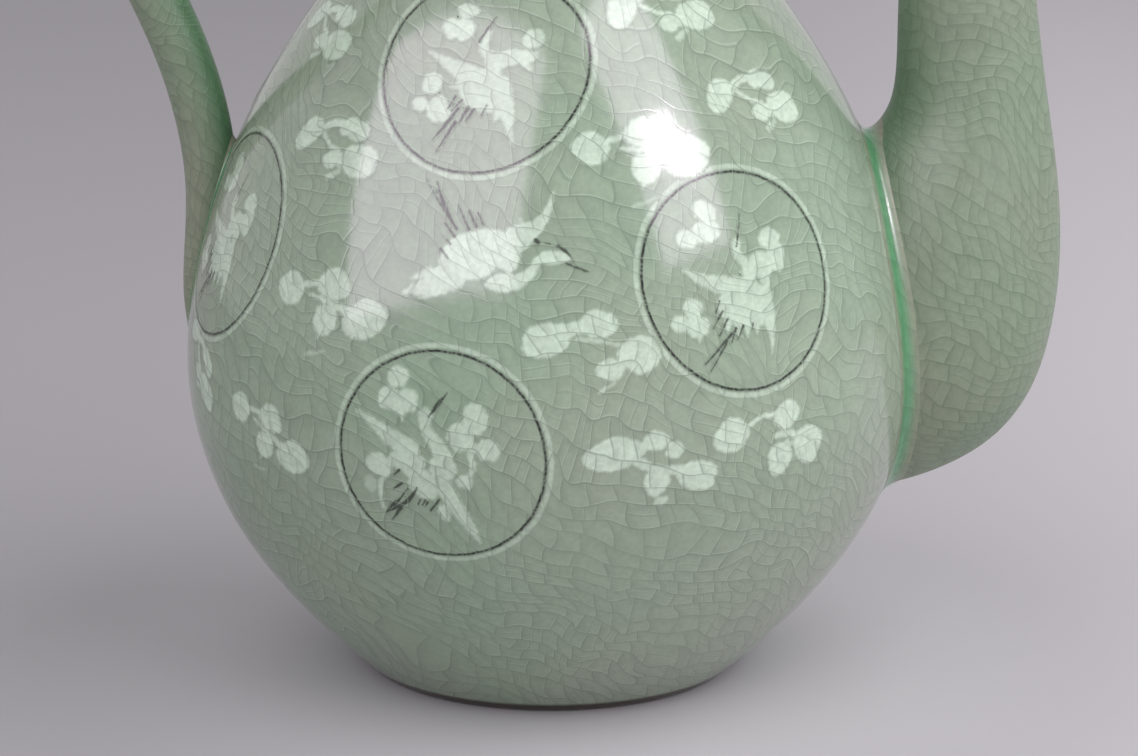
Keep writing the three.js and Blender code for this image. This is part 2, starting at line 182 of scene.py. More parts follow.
def turned(outline: Sequence[Point], facets: int) -> Maker:
    """Turns an outline of (radius, height) points that starts and ends on the axis.

    Args:
        outline: the outline's points.
        facets: steps of the turn.

    Returns:
        A closed mesh with its normals pointing out.
    """
    mesh_maker = bmesh.new()
    mesh_maker.verts.layers.float.new("pool_and_shade")
    line = [mesh_maker.verts.new((r, 0.0, z)) for r, z in outline]
    edges = [mesh_maker.edges.new(pair) for pair in zip(line, line[1:])]
    bmesh.ops.spin(
        mesh_maker,
        geom=line + edges,
        cent=(0, 0, 0),
        axis=(0, 0, 1),
        angle=2 * math.pi,
        steps=facets,
        use_merge=True,
    )
    bmesh.ops.remove_doubles(mesh_maker, verts=mesh_maker.verts, dist=1e-4)
    bmesh.ops.recalc_face_normals(mesh_maker, faces=mesh_maker.faces)
    return mesh_maker


def rounded(corner: Point, start: Point, end: Point, steps: int = 6) -> list[Point]:
    """Rounds a corner of an outline with a curve from start to end.

    Args:
        corner: the corner that is rounded off.
        start: where the curve leaves the outline.
        end: where it meets the outline again.
        steps: how many stretches the curve has.

    Returns:
        The curve's points, ends included.
    """
    a, b, c = (np.array(p, dtype=float) for p in (start, corner, end))
    at = np.linspace(0, 1, steps + 1)[:, None]
    return [tuple(p) for p in a * (1 - at) ** 2 + 2 * b * at * (1 - at) + c * at**2]


@dataclass(frozen=True)
class PotWall:
    """The pot's outer wall from foot to mouth, as one smooth outline."""

    knots: tuple[Point, ...] = (
        (37.5, 0.0),
        (52.0, 14.0),
        (66.6, 34.0),
        (74.7, 62.0),
        (71.6, 88.0),
        (60.3, 118.0),
        (38.0, 150.0),
        (21.5, 172.0),
        (18.0, 187.0),
        (24.0, 200.0),
        (34.5, 213.0),
        (38.0, 227.0),
        (31.5, 243.0),
        (16.0, 254.0),
        (16.5, 263.0),
    )
    samples: int = 700
    drops: int = 4
    waist_height: float = 187.0
    mouth_height: float = 263.0

    @cached_property
    def line(self) -> np.ndarray:
        """The outline's samples as rows of radius and height."""
        return natural_spline(self.knots, self.samples)

    def stretch(self, low: float, high: float, step: float) -> list[Point]:
        """Gives evenly spaced points of the outline between two heights.

        Args:
            low: the lower height.
            high: the upper height.
            step: the largest spacing.

        Returns:
            The points from low to high.
        """
        heights = self.line[:, 1]
        inside = self.line[(heights > low) & (heights < high)]
        ends = [[self.radius(low), low], [self.radius(high), high]]
        whole = np.vstack([ends[:1], inside, ends[1:]])
        along = np.concatenate([[0], np.cumsum(np.linalg.norm(np.diff(whole, axis=0), axis=1))])
        count = max(2, int(along[-1] / step) + 1)
        at = np.linspace(0, along[-1], count)
        return list(zip(np.interp(at, along, whole[:, 0]), np.interp(at, along, whole[:, 1])))

    def radius(self, height: float) -> float:
        """Gives the outer radius at a height."""
        return float(np.interp(height, self.line[:, 1], self.line[:, 0]))

    def normal(self, azimuth: float, height: float) -> Vector:
        """Gives the outward normal at a place on the wall.

        Args:
            azimuth: the place's direction in radians, 0 at the front and positive to the right.
            height: the place's height.

        Returns:
            The normal, one unit long.
        """
        rise = 0.5
        slope = (self.radius(height + rise) - self.radius(height - rise)) / (2 * rise)
        return Vector((math.sin(azimuth), -math.cos(azimuth), -slope)).normalized()

    def point(self, azimuth: float, height: float, lift: float = 0.0) -> Vector:
        """Gives a point on the wall or near it.

        Args:
            azimuth: the point's direction in radians.
            height: its height on the wall.
            lift: how far it stands proud of the wall, negative inside.

        Returns:
            The point.
        """
        r = self.radius(height)
        place = Vector((r * math.sin(azimuth), -r * math.cos(azimuth), height))
        return place + lift * self.normal(azimuth, height)

    def nearest(self, place: Vector, lift: float = 0.0) -> Vector:
        """Drops a place near the wall onto it, along the wall's normal, then lifts it.

        Args:
            place: the place.
            lift: how far the result stands proud of the wall, negative inside.

        Returns:
            The point that is found.
        """
        azimuth = math.atan2(place.x, -place.y)
        height = place.z
        for _ in range(self.drops):
            normal = self.normal(azimuth, height)
            gap = (place - self.point(azimuth, height)).dot(normal)
            foot = place - gap * normal
            azimuth = math.atan2(foot.x, -foot.y)
            height = foot.z
        return self.point(azimuth, height, lift)

    def holds(self, place: Vector) -> bool:
        """Tells whether a place lies inside the wall's outline."""
        if not 0.0 < place.z < self.mouth_height:
            return False
        return math.hypot(place.x, place.y) < self.radius(place.z)


WALL = PotWall()


# Materials. Every glaze reads Object coordinates, so its crackle runs on from piece to piece.


class Nodes:
    """A small hand for building a node tree in words."""

    def __init__(self, tree: bpy.types.NodeTree) -> None:
        """Keeps the tree that new nodes go into."""
        self.tree = tree

    def add(self, kind: str, **settings: object) -> bpy.types.Node:
        """Adds a node and sets its properties.

        Args:
            kind: the node's type name.
            settings: properties, or input values whose name starts with in_ and a number.

        Returns:
            The node.
        """
        node = self.tree.nodes.new(kind)
        for key, value in settings.items():
            if key.startswith("in_"):
                node.inputs[int(key[3:])].default_value = value
            else:
                setattr(node, key, value)
        return node

    def link(self, source: Socket, target: Socket) -> None:
        """Joins an output to an input."""
        self.tree.links.new(source, target)

    def put(self, value: object, target: Socket) -> None:
        """Joins an output to an input, or sets the input to a plain value."""
        if isinstance(value, Socket):
            self.link(value, target)
        else:
            target.default_value = value

    def math(self, operation: str, *values: object) -> Socket:
        """Adds a Math node.

        Args:
            operation: what it works out.
            values: its inputs in order, each a socket or a number.

        Returns:
            Its output.
        """
        node = self.add("ShaderNodeMath", operation=operation)
        for slot, value in enumerate(values):
            self.put(value, node.inputs[slot])
        return node.outputs[0]

    def vector(self, operation: str, *values: object) -> Socket:
        """Adds a Vector Math node.

        Args:
            operation: what it works out.
            values: its inputs in order, each a socket or a tuple, or the scale of SCALE.

        Returns:
            Its output, a number where the operation is LENGTH and else a vector.
        """
        node = self.add("ShaderNodeVectorMath", operation=operation)
        for slot, value in enumerate(values):
            is_scale = operation == "SCALE" and slot == 1
            self.put(value, node.inputs["Scale" if is_scale else slot])
        return node.outputs["Value" if operation == "LENGTH" else "Vector"]

    def place(self) -> Socket:
        """Gives the object's own coordinates."""
        return self.add("ShaderNodeTexCoord").outputs["Object"]

    def split(self, place: Socket) -> bpy.types.NodeOutputs:
        """Splits a place into outputs X, Y and Z."""
        node = self.add("ShaderNodeSeparateXYZ")
        self.link(place, node.inputs[0])
        return node.outputs

    def noise(
        self, place: Socket, scale: float, detail: float = 1.0, roughness: float = 0.5
    ) -> bpy.types.NodeOutputs:
        """Adds a noise over places.

        Args:
            place: the places.
            scale: its waves to the metre.
            detail: how many finer noises lie over the first.
            roughness: how strong the finer noises are.

        Returns:
            Its outputs.
        """
        node = self.add("ShaderNodeTexNoise", in_2=scale, in_3=detail, in_4=roughness)
        self.link(place, node.inputs["Vector"])
        return node.outputs

    def fade(self, value: Socket, low: float, high: float) -> Socket:
        """Gives a smooth step from 0 where value is low to 1 where it is high."""
        node = self.add("ShaderNodeMapRange", interpolation_type="SMOOTHSTEP")
        for name, source in (("Value", value), ("From Min", low), ("From Max", high)):
            self.put(source, node.inputs[name])
        return node.outputs["Result"]

    def mix(self, factor: object, a: object, b: object, blend: str = "MIX") -> Socket:
        """Mixes two colours.

        Args:
            factor: how much of the second is taken, a socket or a number.
            a: the first colour.
            b: the second colour.
            blend: the way of mixing.

        Returns:
            The colour.
        """
        node = self.add("ShaderNodeMix", data_type="RGBA", blend_type=blend)
        for slot, value in ((0, factor), (6, a), (7, b)):
            self.put(value, node.inputs[slot])
        return node.outputs[2]


def warp(hand: Nodes, place: Socket, scale: float, reach: float) -> Socket:
    """Pushes places about by a noise, so that what is drawn on them wanders.

    Args:
        hand: the tree's hand.
        place: the places.
        scale: the noise's scale, in waves to the metre.
        reach: the furthest push in metres.

    Returns:
        The pushed places.
    """
    centred = hand.vector("SUBTRACT", hand.noise(place, scale)["Color"], (0.5, 0.5, 0.5))
    return hand.vector("ADD", place, hand.vector("SCALE", centred, 2 * reach))


@dataclass(frozen=True)
class Crackle:
    """The net of cracks: long wandering ones, then shorter ones that end against them.

    The long cracks part the surface into rows. Rungs cut each row into plates, at places of its
    own, and some plates are cut again: each draws a number from 0 to 1, and is cut along its row
    from uncut_share up and across it up to cut_share. Each bend has its scale in waves to the metre
    and its reach in metres.
    """

    bends: tuple[tuple[float, float], ...] = ((30.0, 0.011), (78.0, 0.0040))
    slant: float = 0.35
    rung_rate: float = 0.8
    rung_offset: float = 7.0
    uncut_share: float = 0.68
    cut_share: float = 0.26
    rung_strength: float = 0.9
    cut_strength: float = 0.75
    bevel_power: float = 3.0
    shade_scale: float = 60.0
    shade_range: Point = (0.2, 0.55)

    def round_and_up(self, hand: Nodes, place: Socket, middle: Socket) -> tuple[Socket, Socket]:
        """Measures places round a limb and up it, alike at the front and at the back.

        Args:
            hand: the group's hand.
            place: the places.
            middle: how far from the pot's axis the limb's own middle lies.

        Returns:
            Two outputs in metres: the way round, and the height with the rows' slant.
        """
        for scale, reach in self.bends:
            place = warp(hand, place, scale, reach)
        parts = hand.split(place)
        middle = hand.math("MULTIPLY", hand.math("SIGN", parts["X"]), middle)
        aside = hand.math("SUBTRACT", parts["X"], middle)
        ahead = hand.math("ABSOLUTE", parts["Y"])
        angle = hand.math("ARCTAN2", aside, ahead)
        square = hand.math("MULTIPLY_ADD", aside, aside, hand.math("MULTIPLY", ahead, ahead))
        round_way = hand.math("MULTIPLY", angle, hand.math("SQRT", square))
        return round_way, hand.math("MULTIPLY_ADD", round_way, self.slant, parts["Z"])

    def build(self) -> bpy.types.NodeTree:
        """Builds the node group.

        Returns:
            The group. Its inputs are Spacing and Line Width in metres, Shift, which moves the
            whole net, and Middle, how far from the pot's axis the limb's own middle lies. Its
            outputs are Lines, Cells, Shade and Bevel, which rises towards each plate's upper left
            edges.
        """
        group = bpy.data.node_groups.new("crackle", "ShaderNodeTree")
        face = group.interface
        for name in ("Spacing", "Line Width", "Middle"):
            face.new_socket(name, in_out="INPUT", socket_type="NodeSocketFloat")
        face.new_socket("Shift", in_out="INPUT", socket_type="NodeSocketVector")
        for name in ("Lines", "Cells", "Shade", "Bevel"):
            face.new_socket(name, in_out="OUTPUT", socket_type="NodeSocketFloat")
        hand = Nodes(group)
        inputs = hand.add("NodeGroupInput").outputs
        outputs = hand.add("NodeGroupOutput").inputs
        spacing = inputs["Spacing"]
        place = hand.vector("SUBTRACT", hand.place(), inputs["Shift"])
        round_way, height = self.round_and_up(hand, place, inputs["Middle"])
        rows = hand.math("DIVIDE", height, spacing)
        row = hand.math("FLOOR", rows)
        chance = hand.add("ShaderNodeTexWhiteNoise", noise_dimensions="1D")
        hand.link(row, chance.inputs["W"])
        rungs = hand.math("DIVIDE", hand.math("MULTIPLY", round_way, self.rung_rate), spacing)
        rungs = hand.math("MULTIPLY_ADD", chance.outputs["Value"], self.rung_offset, rungs)
        spot = hand.add("ShaderNodeCombineXYZ")
        hand.link(row, spot.inputs[0])
        hand.link(hand.math("FLOOR", rungs), spot.inputs[1])
        plate = hand.add("ShaderNodeTexWhiteNoise", noise_dimensions="3D")
        hand.link(spot.outputs[0], plate.inputs["Vector"])
        cell = plate.outputs["Value"]
        to_row = hand.math("PINGPONG", rows, 0.5)
        to_rung = hand.math("PINGPONG", rungs, 0.5)
        uncut = hand.math("LESS_THAN", cell, self.uncut_share)
        along = hand.math("ADD", hand.math("SUBTRACT", 0.5, to_row), uncut)
        uncut = hand.math("GREATER_THAN", cell, self.cut_share)
        across = hand.math("ADD", hand.math("SUBTRACT", 0.5, to_rung), uncut)
        cracks = (
            (to_row, 1.0),
            (to_rung, self.rung_strength),
            (along, self.cut_strength),
            (across, self.cut_strength),
        )
        lines = 0.0
        for reach, strength in cracks:
            line = hand.add("ShaderNodeMapRange", interpolation_type="SMOOTHSTEP")
            hand.link(hand.math("MULTIPLY", reach, spacing), line.inputs["Value"])
            hand.link(inputs["Line Width"], line.inputs["From Max"])
            line.inputs["To Min"].default_value = strength
            line.inputs["To Max"].default_value = 0.0
            lines = hand.math("MAXIMUM", lines, line.outputs["Result"])
        below = hand.math("POWER", hand.math("FRACT", rows), self.bevel_power)
        left = hand.math("SUBTRACT", 1.0, hand.math("FRACT", rungs))
        beside = hand.math("POWER", left, self.bevel_power)
        shade = hand.fade(hand.noise(place, self.shade_scale)["Fac"], *self.shade_range)
        hand.link(lines, outputs["Lines"])
        hand.link(cell, outputs["Cells"])
        hand.link(shade, outputs["Shade"])
        hand.link(hand.math("MAXIMUM", below, beside), outputs["Bevel"])
        return group


@dataclass(frozen=True)
class Mottle:
    """The glaze's drift of tone: broad clouds, fine speckle and faint throwing bands.

    Each cloud has its output's name, its scale in waves to the metre, its detail and its roughness.
    """

    clouds: tuple[tuple[str, float, float, float], ...] = (
        ("Drift", 14.0, 3.0, 0.55),
        ("Speckle", 900.0, 2.0, 0.6),
    )
    cloud_range: Point = (0.3, 0.7)
    band_scale: tuple[float, float, float] = (9.0, 9.0, 260.0)

    def build(self) -> bpy.types.NodeTree:
        """Builds the node group, with outputs Drift, Speckle and Bands."""
        group = bpy.data.node_groups.new("mottle", "ShaderNodeTree")
        for name in ("Drift", "Speckle", "Bands"):
            group.interface.new_socket(name, in_out="OUTPUT", socket_type="NodeSocketFloat")
        hand = Nodes(group)
        outputs = hand.add("NodeGroupOutput").inputs
        place = hand.place()
        for name, *shape in self.clouds:
            cloud = hand.noise(place, *shape)
            hand.link(hand.fade(cloud["Fac"], *self.cloud_range), outputs[name])
        stretched = hand.vector("MULTIPLY", place, self.band_scale)
        hand.link(hand.noise(stretched, 1.0)["Fac"], outputs["Bands"])
        return group


CRACKLE = Crackle().build()
MOTTLE = Mottle().build()


def srgb(red: int, green: int, blue: int) -> Colour:
    """Turns a screen colour into the linear colour that a shader takes.

    Args:
        red: the screen's red from 0 to 255.
        green: the screen's green.
        blue: the screen's blue.

    Returns:
        The linear colour.
    """
    shares = [value / 255 for value in (red, green, blue)]
    linear = [s / 12.92 if s <= 0.04045 else ((s + 0.055) / 1.055) ** 2.4 for s in shares]
    return (*linear, 1.0)


@dataclass(frozen=True)
class Slip:
    """Slip under the glaze, laid where a piece's attribute says.

    The share is how much of it shows where it lies thickest, and the grain how much its specks thin.
    """

    attribute: str
    colour: Colour
    share: float
    grain: float

    def add(self, hand: Nodes, colour: Socket, grain: Socket) -> Socket:
        """Shows the slip through a glaze.

        Args:
            hand: the material's node hand.
            colour: the colour that is there without it.
            grain: a fine grain that thins the slip.

        Returns:
            The colour with the slip.
        """
        laid = hand.add("ShaderNodeAttribute", attribute_name=self.attribute).outputs["Fac"]
        thin = hand.math("MULTIPLY_ADD", grain, self.grain, 1.0 - self.grain)
        share = hand.math("MULTIPLY", hand.math("MULTIPLY", laid, thin), self.share)
        return hand.mix(share, colour, self.colour)


WHITE_SLIP = Slip("slip", srgb(203, 221, 203), 0.92, 0.14)
BLACK_SLIP = Slip("ink", srgb(6, 10, 6), 1.0, 0.04)
# The bare clay of the foot, darkened to a painted contact shadow, over this range of heights.
BARE_CLAY_AND_SHADOW = srgb(46, 36, 28)
BARE_AND_SHADOW_HEIGHTS = (0.0027, 0.0016)
# How far the painted highlight beside each crack lies from it, in metres.
GLINT_SHIFT = (-0.00012, 0.0, 0.00022)


@dataclass(frozen=True)
class Glaze:
    """A glossy crackled glaze over clay, with slip under it where a piece is inlaid.

    Where the piece's attribute named pool is 1 the glaze has pooled, and takes its pooled colour;
    on the spout and handle this is also painted shade on the side facing the pot.
    edge_roughness, where it is set, is the roughness where nothing has pooled. The tones say how
    much speckle, bands, plates and their bevels change the lightness; the bevels' darkening is
    painted shade, and the pale line beside each crack is a painted highlight. Lengths are in metres.
    """

    name: str
    colour: Colour
    drift_colour: Colour
    pooled_colour: Colour
    crack_colour: Colour
    glint_colour: Colour
    roughness: float = 0.11
    spacing: float = 0.0038
    line_width: float = 0.0002
    crack_strength: float = 0.46
    glint_strength: float = 0.25
    middle: float = 0.0
    crack_depth: float = 0.000005
    ripple: float = 0.5
    bevel_dip: float = 0.3
    speckle_tone: float = 0.09
    band_tone: float = 0.10
    plate_tone: float = 0.04
    bevel_shade_tone: float = 0.17
    inlaid: bool = False
    ior: float = 1.6
    specular: float = 0.5
    bare_foot_and_shadow: bool = False
    edge_roughness: float | None = None

    def material(self) -> bpy.types.Material:
        """Builds the material, or gives it again if it has been built."""
        ready = bpy.data.materials.get(self.name)
        if ready:
            return ready
        material = bpy.data.materials.new(self.name)
        material.use_nodes = True
        hand = Nodes(material.node_tree)
        shader = material.node_tree.nodes["Principled BSDF"]
        shader.inputs["Roughness"].default_value = self.roughness
        shader.inputs["IOR"].default_value = self.ior
        shader.inputs["Specular IOR Level"].default_value = self.specular
        crackle = self.add_net(hand)
        mottle = hand.add("ShaderNodeGroup", node_tree=MOTTLE)
        pool_and_shade = hand.add("ShaderNodeAttribute", attribute_name="pool_and_shade").outputs["Fac"]
        colour = hand.mix(mottle.outputs["Drift"], self.colour, self.drift_colour)
        colour = hand.mix(pool_and_shade, colour, self.pooled_colour)
        if self.edge_roughness is not None:
            change = self.roughness - self.edge_roughness
            roughness = hand.math("MULTIPLY_ADD", pool_and_shade, change, self.edge_roughness)
            hand.link(roughness, shader.inputs["Roughness"])
        if self.inlaid:
            colour = WHITE_SLIP.add(hand, colour, mottle.outputs["Speckle"])
            colour = BLACK_SLIP.add(hand, colour, mottle.outputs["Speckle"])
        colour = self.add_tone(hand, colour, mottle, crackle)
        colour = self.add_cracks(hand, colour, crackle)
        if self.bare_foot_and_shadow:
            colour = self.add_bare_foot_and_shadow(hand, colour)
        hand.link(colour, shader.inputs["Base Color"])
        bump = hand.add("ShaderNodeBump", invert=True)
        bump.inputs["Strength"].default_value = 1.0
        bump.inputs["Distance"].default_value = self.crack_depth
        ripple = hand.math("MULTIPLY", mottle.outputs["Bands"], self.ripple)
        plates = hand.math("MULTIPLY_ADD", crackle.outputs["Bevel"], -self.bevel_dip, ripple)
        hand.link(hand.math("SUBTRACT", crackle.outputs["Lines"], plates), bump.inputs["Height"])
        hand.link(bump.outputs["Normal"], shader.inputs["Normal"])
        return material

    def add_net(self, hand: Nodes, shift: Sequence[float] = (0.0, 0.0, 0.0)) -> bpy.types.Node:
        """Adds the crackle group's node.

        Args:
            hand: the material's node hand.
            shift: how far the net is moved.

        Returns:
            The node.
        """
        net = hand.add("ShaderNodeGroup", node_tree=CRACKLE)
        settings = {
            "Spacing": self.spacing,
            "Line Width": self.line_width,
            "Middle": self.middle,
            "Shift": shift,
        }
        for name, value in settings.items():
            net.inputs[name].default_value = value
        return net

    def add_tone(
        self, hand: Nodes, colour: Socket, mottle: bpy.types.Node, crackle: bpy.types.Node
    ) -> Socket:
        """Varies a colour's lightness by speckle, throwing bands and from plate to plate, and darkens each
        plate's upper left edges as painted shade.

        Args:
            hand: the material's node hand.
            colour: the colour.
            mottle: the mottle group's node.
            crackle: the crackle group's node.

        Returns:
            The varied colour.
        """
        tone = 1.0 - (self.speckle_tone + self.band_tone + self.plate_tone) / 2
        for share, strength in (
            (mottle.outputs["Speckle"], self.speckle_tone),
            (mottle.outputs["Bands"], self.band_tone),
            (crackle.outputs["Cells"], self.plate_tone),
            # The bevels darken each plate near its upper left edges: painted shade, as if the plates were
            # tilted away from the light.
            (crackle.outputs["Bevel"], -self.bevel_shade_tone),
        ):
            tone = hand.math("MULTIPLY_ADD", share, strength, tone)
        return hand.mix(1.0, colour, tone, "MULTIPLY")

    def add_cracks(self, hand: Nodes, colour: Socket, crackle: bpy.types.Node) -> Socket:
        """Draws each crack as a dark line with a painted highlight, a pale line, above it.

        Args:
            hand: the material's node hand.
            colour: the colour of the whole glaze.
            crackle: the crackle group's node.

        Returns:
            The colour with the cracks.
        """
        # The pale line beside each crack is a painted highlight, as if the crack's far side caught the
        # light.
        glint = self.add_net(hand, GLINT_SHIFT)
        bare = hand.math("SUBTRACT", glint.outputs["Lines"], crackle.outputs["Lines"])
        pale = hand.math("MULTIPLY", hand.math("MAXIMUM", bare, 0.0), glint.outputs["Shade"])
        colour = hand.mix(hand.math("MULTIPLY", pale, self.glint_strength), colour, self.glint_colour)
        dark = hand.math("MULTIPLY", crackle.outputs["Lines"], crackle.outputs["Shade"])
        return hand.mix(hand.math("MULTIPLY", dark, self.crack_strength), colour, self.crack_colour)

    def add_bare_foot_and_shadow(self, hand: Nodes, colour: Socket) -> Socket:
        """Turns the lowest stretch of the foot into bare brown clay, darkened as painted contact shadow.

        Args:
            hand: the material's node hand.
            colour: the colour of the glaze above.

        Returns:
            The colour with the bare foot.
        """
        # Bare clay with a painted contact shadow at the foot.
        bare = hand.fade(hand.split(hand.place())["Z"], *BARE_AND_SHADOW_HEIGHTS)
        return hand.mix(bare, colour, BARE_CLAY_AND_SHADOW)


CELADON = {
    "colour": srgb(138, 159, 137),
    "drift_colour": srgb(146, 157, 140),
    "pooled_colour": srgb(78, 132, 92),
    "crack_colour": srgb(92, 110, 94),
    "glint_colour": srgb(200, 216, 198),
}


class Finish(Enum):
    """The glazes that the ewer's pieces take."""

    BODY = Glaze("crackled_celadon", **CELADON, bare_foot_and_shadow=True)
    LIMB = Glaze(
        "thin_celadon",
        colour=srgb(125, 142, 121),
        drift_colour=srgb(135, 140, 123),
        # On the spout and handle the pooled colour is pooled glaze and painted shade on the side facing the
        # pot.
        pooled_colour=srgb(80, 118, 84),
        crack_colour=srgb(84, 108, 84),
        glint_colour=srgb(176, 188, 170),
        roughness=0.4,
        spacing=0.0032,
        line_width=0.00024,
        middle=0.085,
        crack_strength=0.4,
        glint_strength=0.16,
        specular=0.2,
    )
    POOL = Glaze(
        "pooled_celadon",
        colour=srgb(146, 142, 126),
        drift_colour=srgb(138, 142, 124),
        pooled_colour=srgb(80, 140, 98),
        crack_colour=srgb(84, 110, 84),
        glint_colour=srgb(176, 188, 170),
        roughness=0.07,
        edge_roughness=0.5,
        crack_strength=0.1,
        glint_strength=0.05,
    )
    INLAY = Glaze("inlaid_celadon", **CELADON, inlaid=True)


def dress(piece: bpy.types.Object, finish: Finish, body: str, slot: str, *nodes: str) -> None:
    """Gives a piece its glaze, its body and the CAD nodes that it stands for.

    Args:
        piece: the new piece.
        finish: its glaze.
        body: the CAD body that it moves with.
        slot: the name of a material slot, not used.
        nodes: the CAD nodes that it replaces.
    """
    piece.data.materials.append(finish.value.material())
    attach(piece, body)
    if nodes:
        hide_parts(*nodes)
    LOG.info("%s: %d faces, rides on %s", piece.name, len(piece.data.polygons), body)


def turn_piece(
    name: str, outline: Sequence[Point], facets: int, body: str, node: str, sharp_degrees: float = 50.0
) -> None:
    """Makes a turned piece under the pot's own glaze.

    Args:
        name: the piece's name.
        outline: its points of radius and height.
        facets: steps of the turn.
        body: the CAD body that it moves with.
        node: the CAD node that it stands for.
        sharp_degrees: edges that bend more than this stay sharp.
    """
    piece = finish_piece(name, turned(outline, facets), sharp_degrees)
    dress(piece, Finish.BODY, body, "celadon_glaze", node)


@dataclass
class Bulbs:
    """The two thrown bulbs and the slip ring where they join at the waist.

    Each slip rise has its place as a share of the ring's half height, and how proud the ring is.
    """

    lower_wall: float = 4.5
    upper_wall: float = 3.6
    floor_thickness: float = 6.0
    foot_ring_width: float = 6.0
    foot_recess: float = 2.5
    foot_edge: float = 1.0
    recess_edge: Point = (0.6, 0.8)
    wall_start: float = 1.4
    mouth_bore_radius: float = 12.8
    mouth_bore_bottom: float = 252.4
    lip_radius: float = 1.3
    slip_half_height: float = 1.2
    slip_rises: tuple[Point, ...] = ((-1.0, 0.01), (-0.5, 0.084), (0.0, 0.12), (0.5, 0.084), (1.0, 0.01))
    facets: int = 224
    step: float = 1.6

    def inner(self, low: float, high: float, wall: float) -> list[Point]:
        """Gives the inside of a bulb's wall.

        Args:
            low: the lower height.
            high: the upper height.
            wall: the wall's thickness.

        Returns:
            The points from low to high.
        """
        outer = np.array(WALL.stretch(low - wall if low > wall else 0.0, high, self.step * 2))
        slope = np.gradient(outer, axis=0)
        slope /= np.linalg.norm(slope, axis=1)[:, None]
        inside = outer + wall * np.stack([-slope[:, 1], slope[:, 0]], axis=1)
        return [tuple(p) for p in inside if low < p[1] < high]

    def build(self) -> None:
        """Makes the two bulbs and the slip ring between them."""
        waist = WALL.waist_height
        foot_radius = WALL.radius(0.0)
        recess_radius = foot_radius - self.foot_ring_width
        outline: list[Point] = [
            (0.0, self.foot_recess),
            (recess_radius - self.foot_recess, self.foot_recess),
            *rounded(
                (recess_radius, 0.0),
                (recess_radius - self.recess_edge[0], self.recess_edge[1]),
                (recess_radius + self.foot_edge, 0.0),
            ),
            *rounded(
                (foot_radius, 0.0),
                (foot_radius - self.foot_edge, 0.0),
                (WALL.radius(self.foot_edge), self.foot_edge),
            ),
            *WALL.stretch(self.wall_start, waist, self.step),
            *reversed(self.inner(self.floor_thickness, waist, self.lower_wall)),
            (0.0, self.floor_thickness),
        ]
        turn_piece("lower_bulb_glazed", outline, self.facets, "pot", "lower_bulb")
        mouth = WALL.mouth_height
        radius = WALL.radius(mouth)
        bore = self.mouth_bore_radius
        inner = [p for p in self.inner(waist, self.mouth_bore_bottom, self.upper_wall) if p[0] > bore]
        upper: list[Point] = [
            (WALL.radius(waist) - self.upper_wall, waist),
            *WALL.stretch(waist, mouth - self.lip_radius, self.step),
            *rounded((radius, mouth), (radius, mouth - self.lip_radius), (radius - self.lip_radius, mouth)),
            *rounded((bore, mouth), (bore + self.lip_radius, mouth), (bore, mouth - self.lip_radius)),
            (bore, self.mouth_bore_bottom),
            *reversed(inner),
            (WALL.radius(waist) - self.upper_wall, waist),
        ]
        turn_piece("upper_bulb_glazed", upper, self.facets, "pot", "upper_bulb")
        self.build_waist_ring()

    def build_waist_ring(self) -> None:
        """Makes the slip ring in the joint, a hair proud of both walls under the glaze."""
        waist = WALL.waist_height
        half = self.slip_half_height
        inside = WALL.radius(waist) - self.upper_wall
        skin_line = [
            (WALL.radius(waist + share * half) + rise, waist + share * half)
            for share, rise in self.slip_rises
        ]
        low, high = waist - half / 2, waist + half / 2
        outline = [(inside, low), *skin_line, (inside, high), (inside, low)]
        turn_piece("waist_slip_glazed", outline, self.facets, "pot", "waist_slip", sharp_degrees=80.0)


def ellipse(middle: Vector, across: Vector, half_width: float, sides: int) -> Loop:
    """Gives an ellipse with one axis along Y.

    Args:
        middle: its middle.
        across: half of its other axis, as a vector.
        half_width: half of its axis along Y.
        sides: how many points it has.

    Returns:
        Its points.
    """
    turns = [2 * math.pi * i / sides for i in range(sides)]
    side = Vector((0.0, half_width, 0.0))
    return [middle + math.cos(turn) * across + math.sin(turn) * side for turn in turns]


HALVINGS = 24


def crease(rings: Sequence[Loop], from_start: bool) -> list[tuple[int, Vector]]:
    """Finds where each lengthwise line of a limb enters the pot's wall.

    Args:
        rings: the limb's rings in order.
        from_start: whether the limb's buried end is its first ring.

    Returns:
        For each line, the first ring outside and the point on the wall.
    """
    order = list(range(len(rings)))
    if from_start:
        order.reverse()
    found = []
    for i in range(len(rings[0])):
        outside = order[0]
        hit = rings[order[-1]][i]
        for before, after in zip(order, order[1:]):
            a, b = rings[before][i], rings[after][i]
            if not WALL.holds(b):
                outside = after
                continue
            low, high = 0.0, 1.0
            for _ in range(HALVINGS):
                middle = (low + high) / 2
                if WALL.holds(a.lerp(b, middle)):
                    high = middle
                else:
                    low = middle
            outside = before
            hit = a.lerp(b, low)
            break
        found.append((outside, hit))
    return found


def walk(rings: Sequence[Loop], line: int, start: Vector, ring: int, step: int, reach: float) -> Vector:
    """Walks from a point on a limb's lengthwise line away from the pot.

    Args:
        rings: the limb's rings.
        line: which lengthwise line.
        start: where the walk starts.
        ring: the first ring outside the wall.
        step: 1 or -1, the way along the rings that leads away from the pot.
        reach: how far to walk.

    Returns:
        The point at that distance.
    """
    here = start
    left = reach
    while 0 <= ring < len(rings):
        there = rings[ring][line]
        length = (there - here).length
        if length >= left:
            return here.lerp(there, left / length)
        left -= length
        here = there
        ring += step
    return here


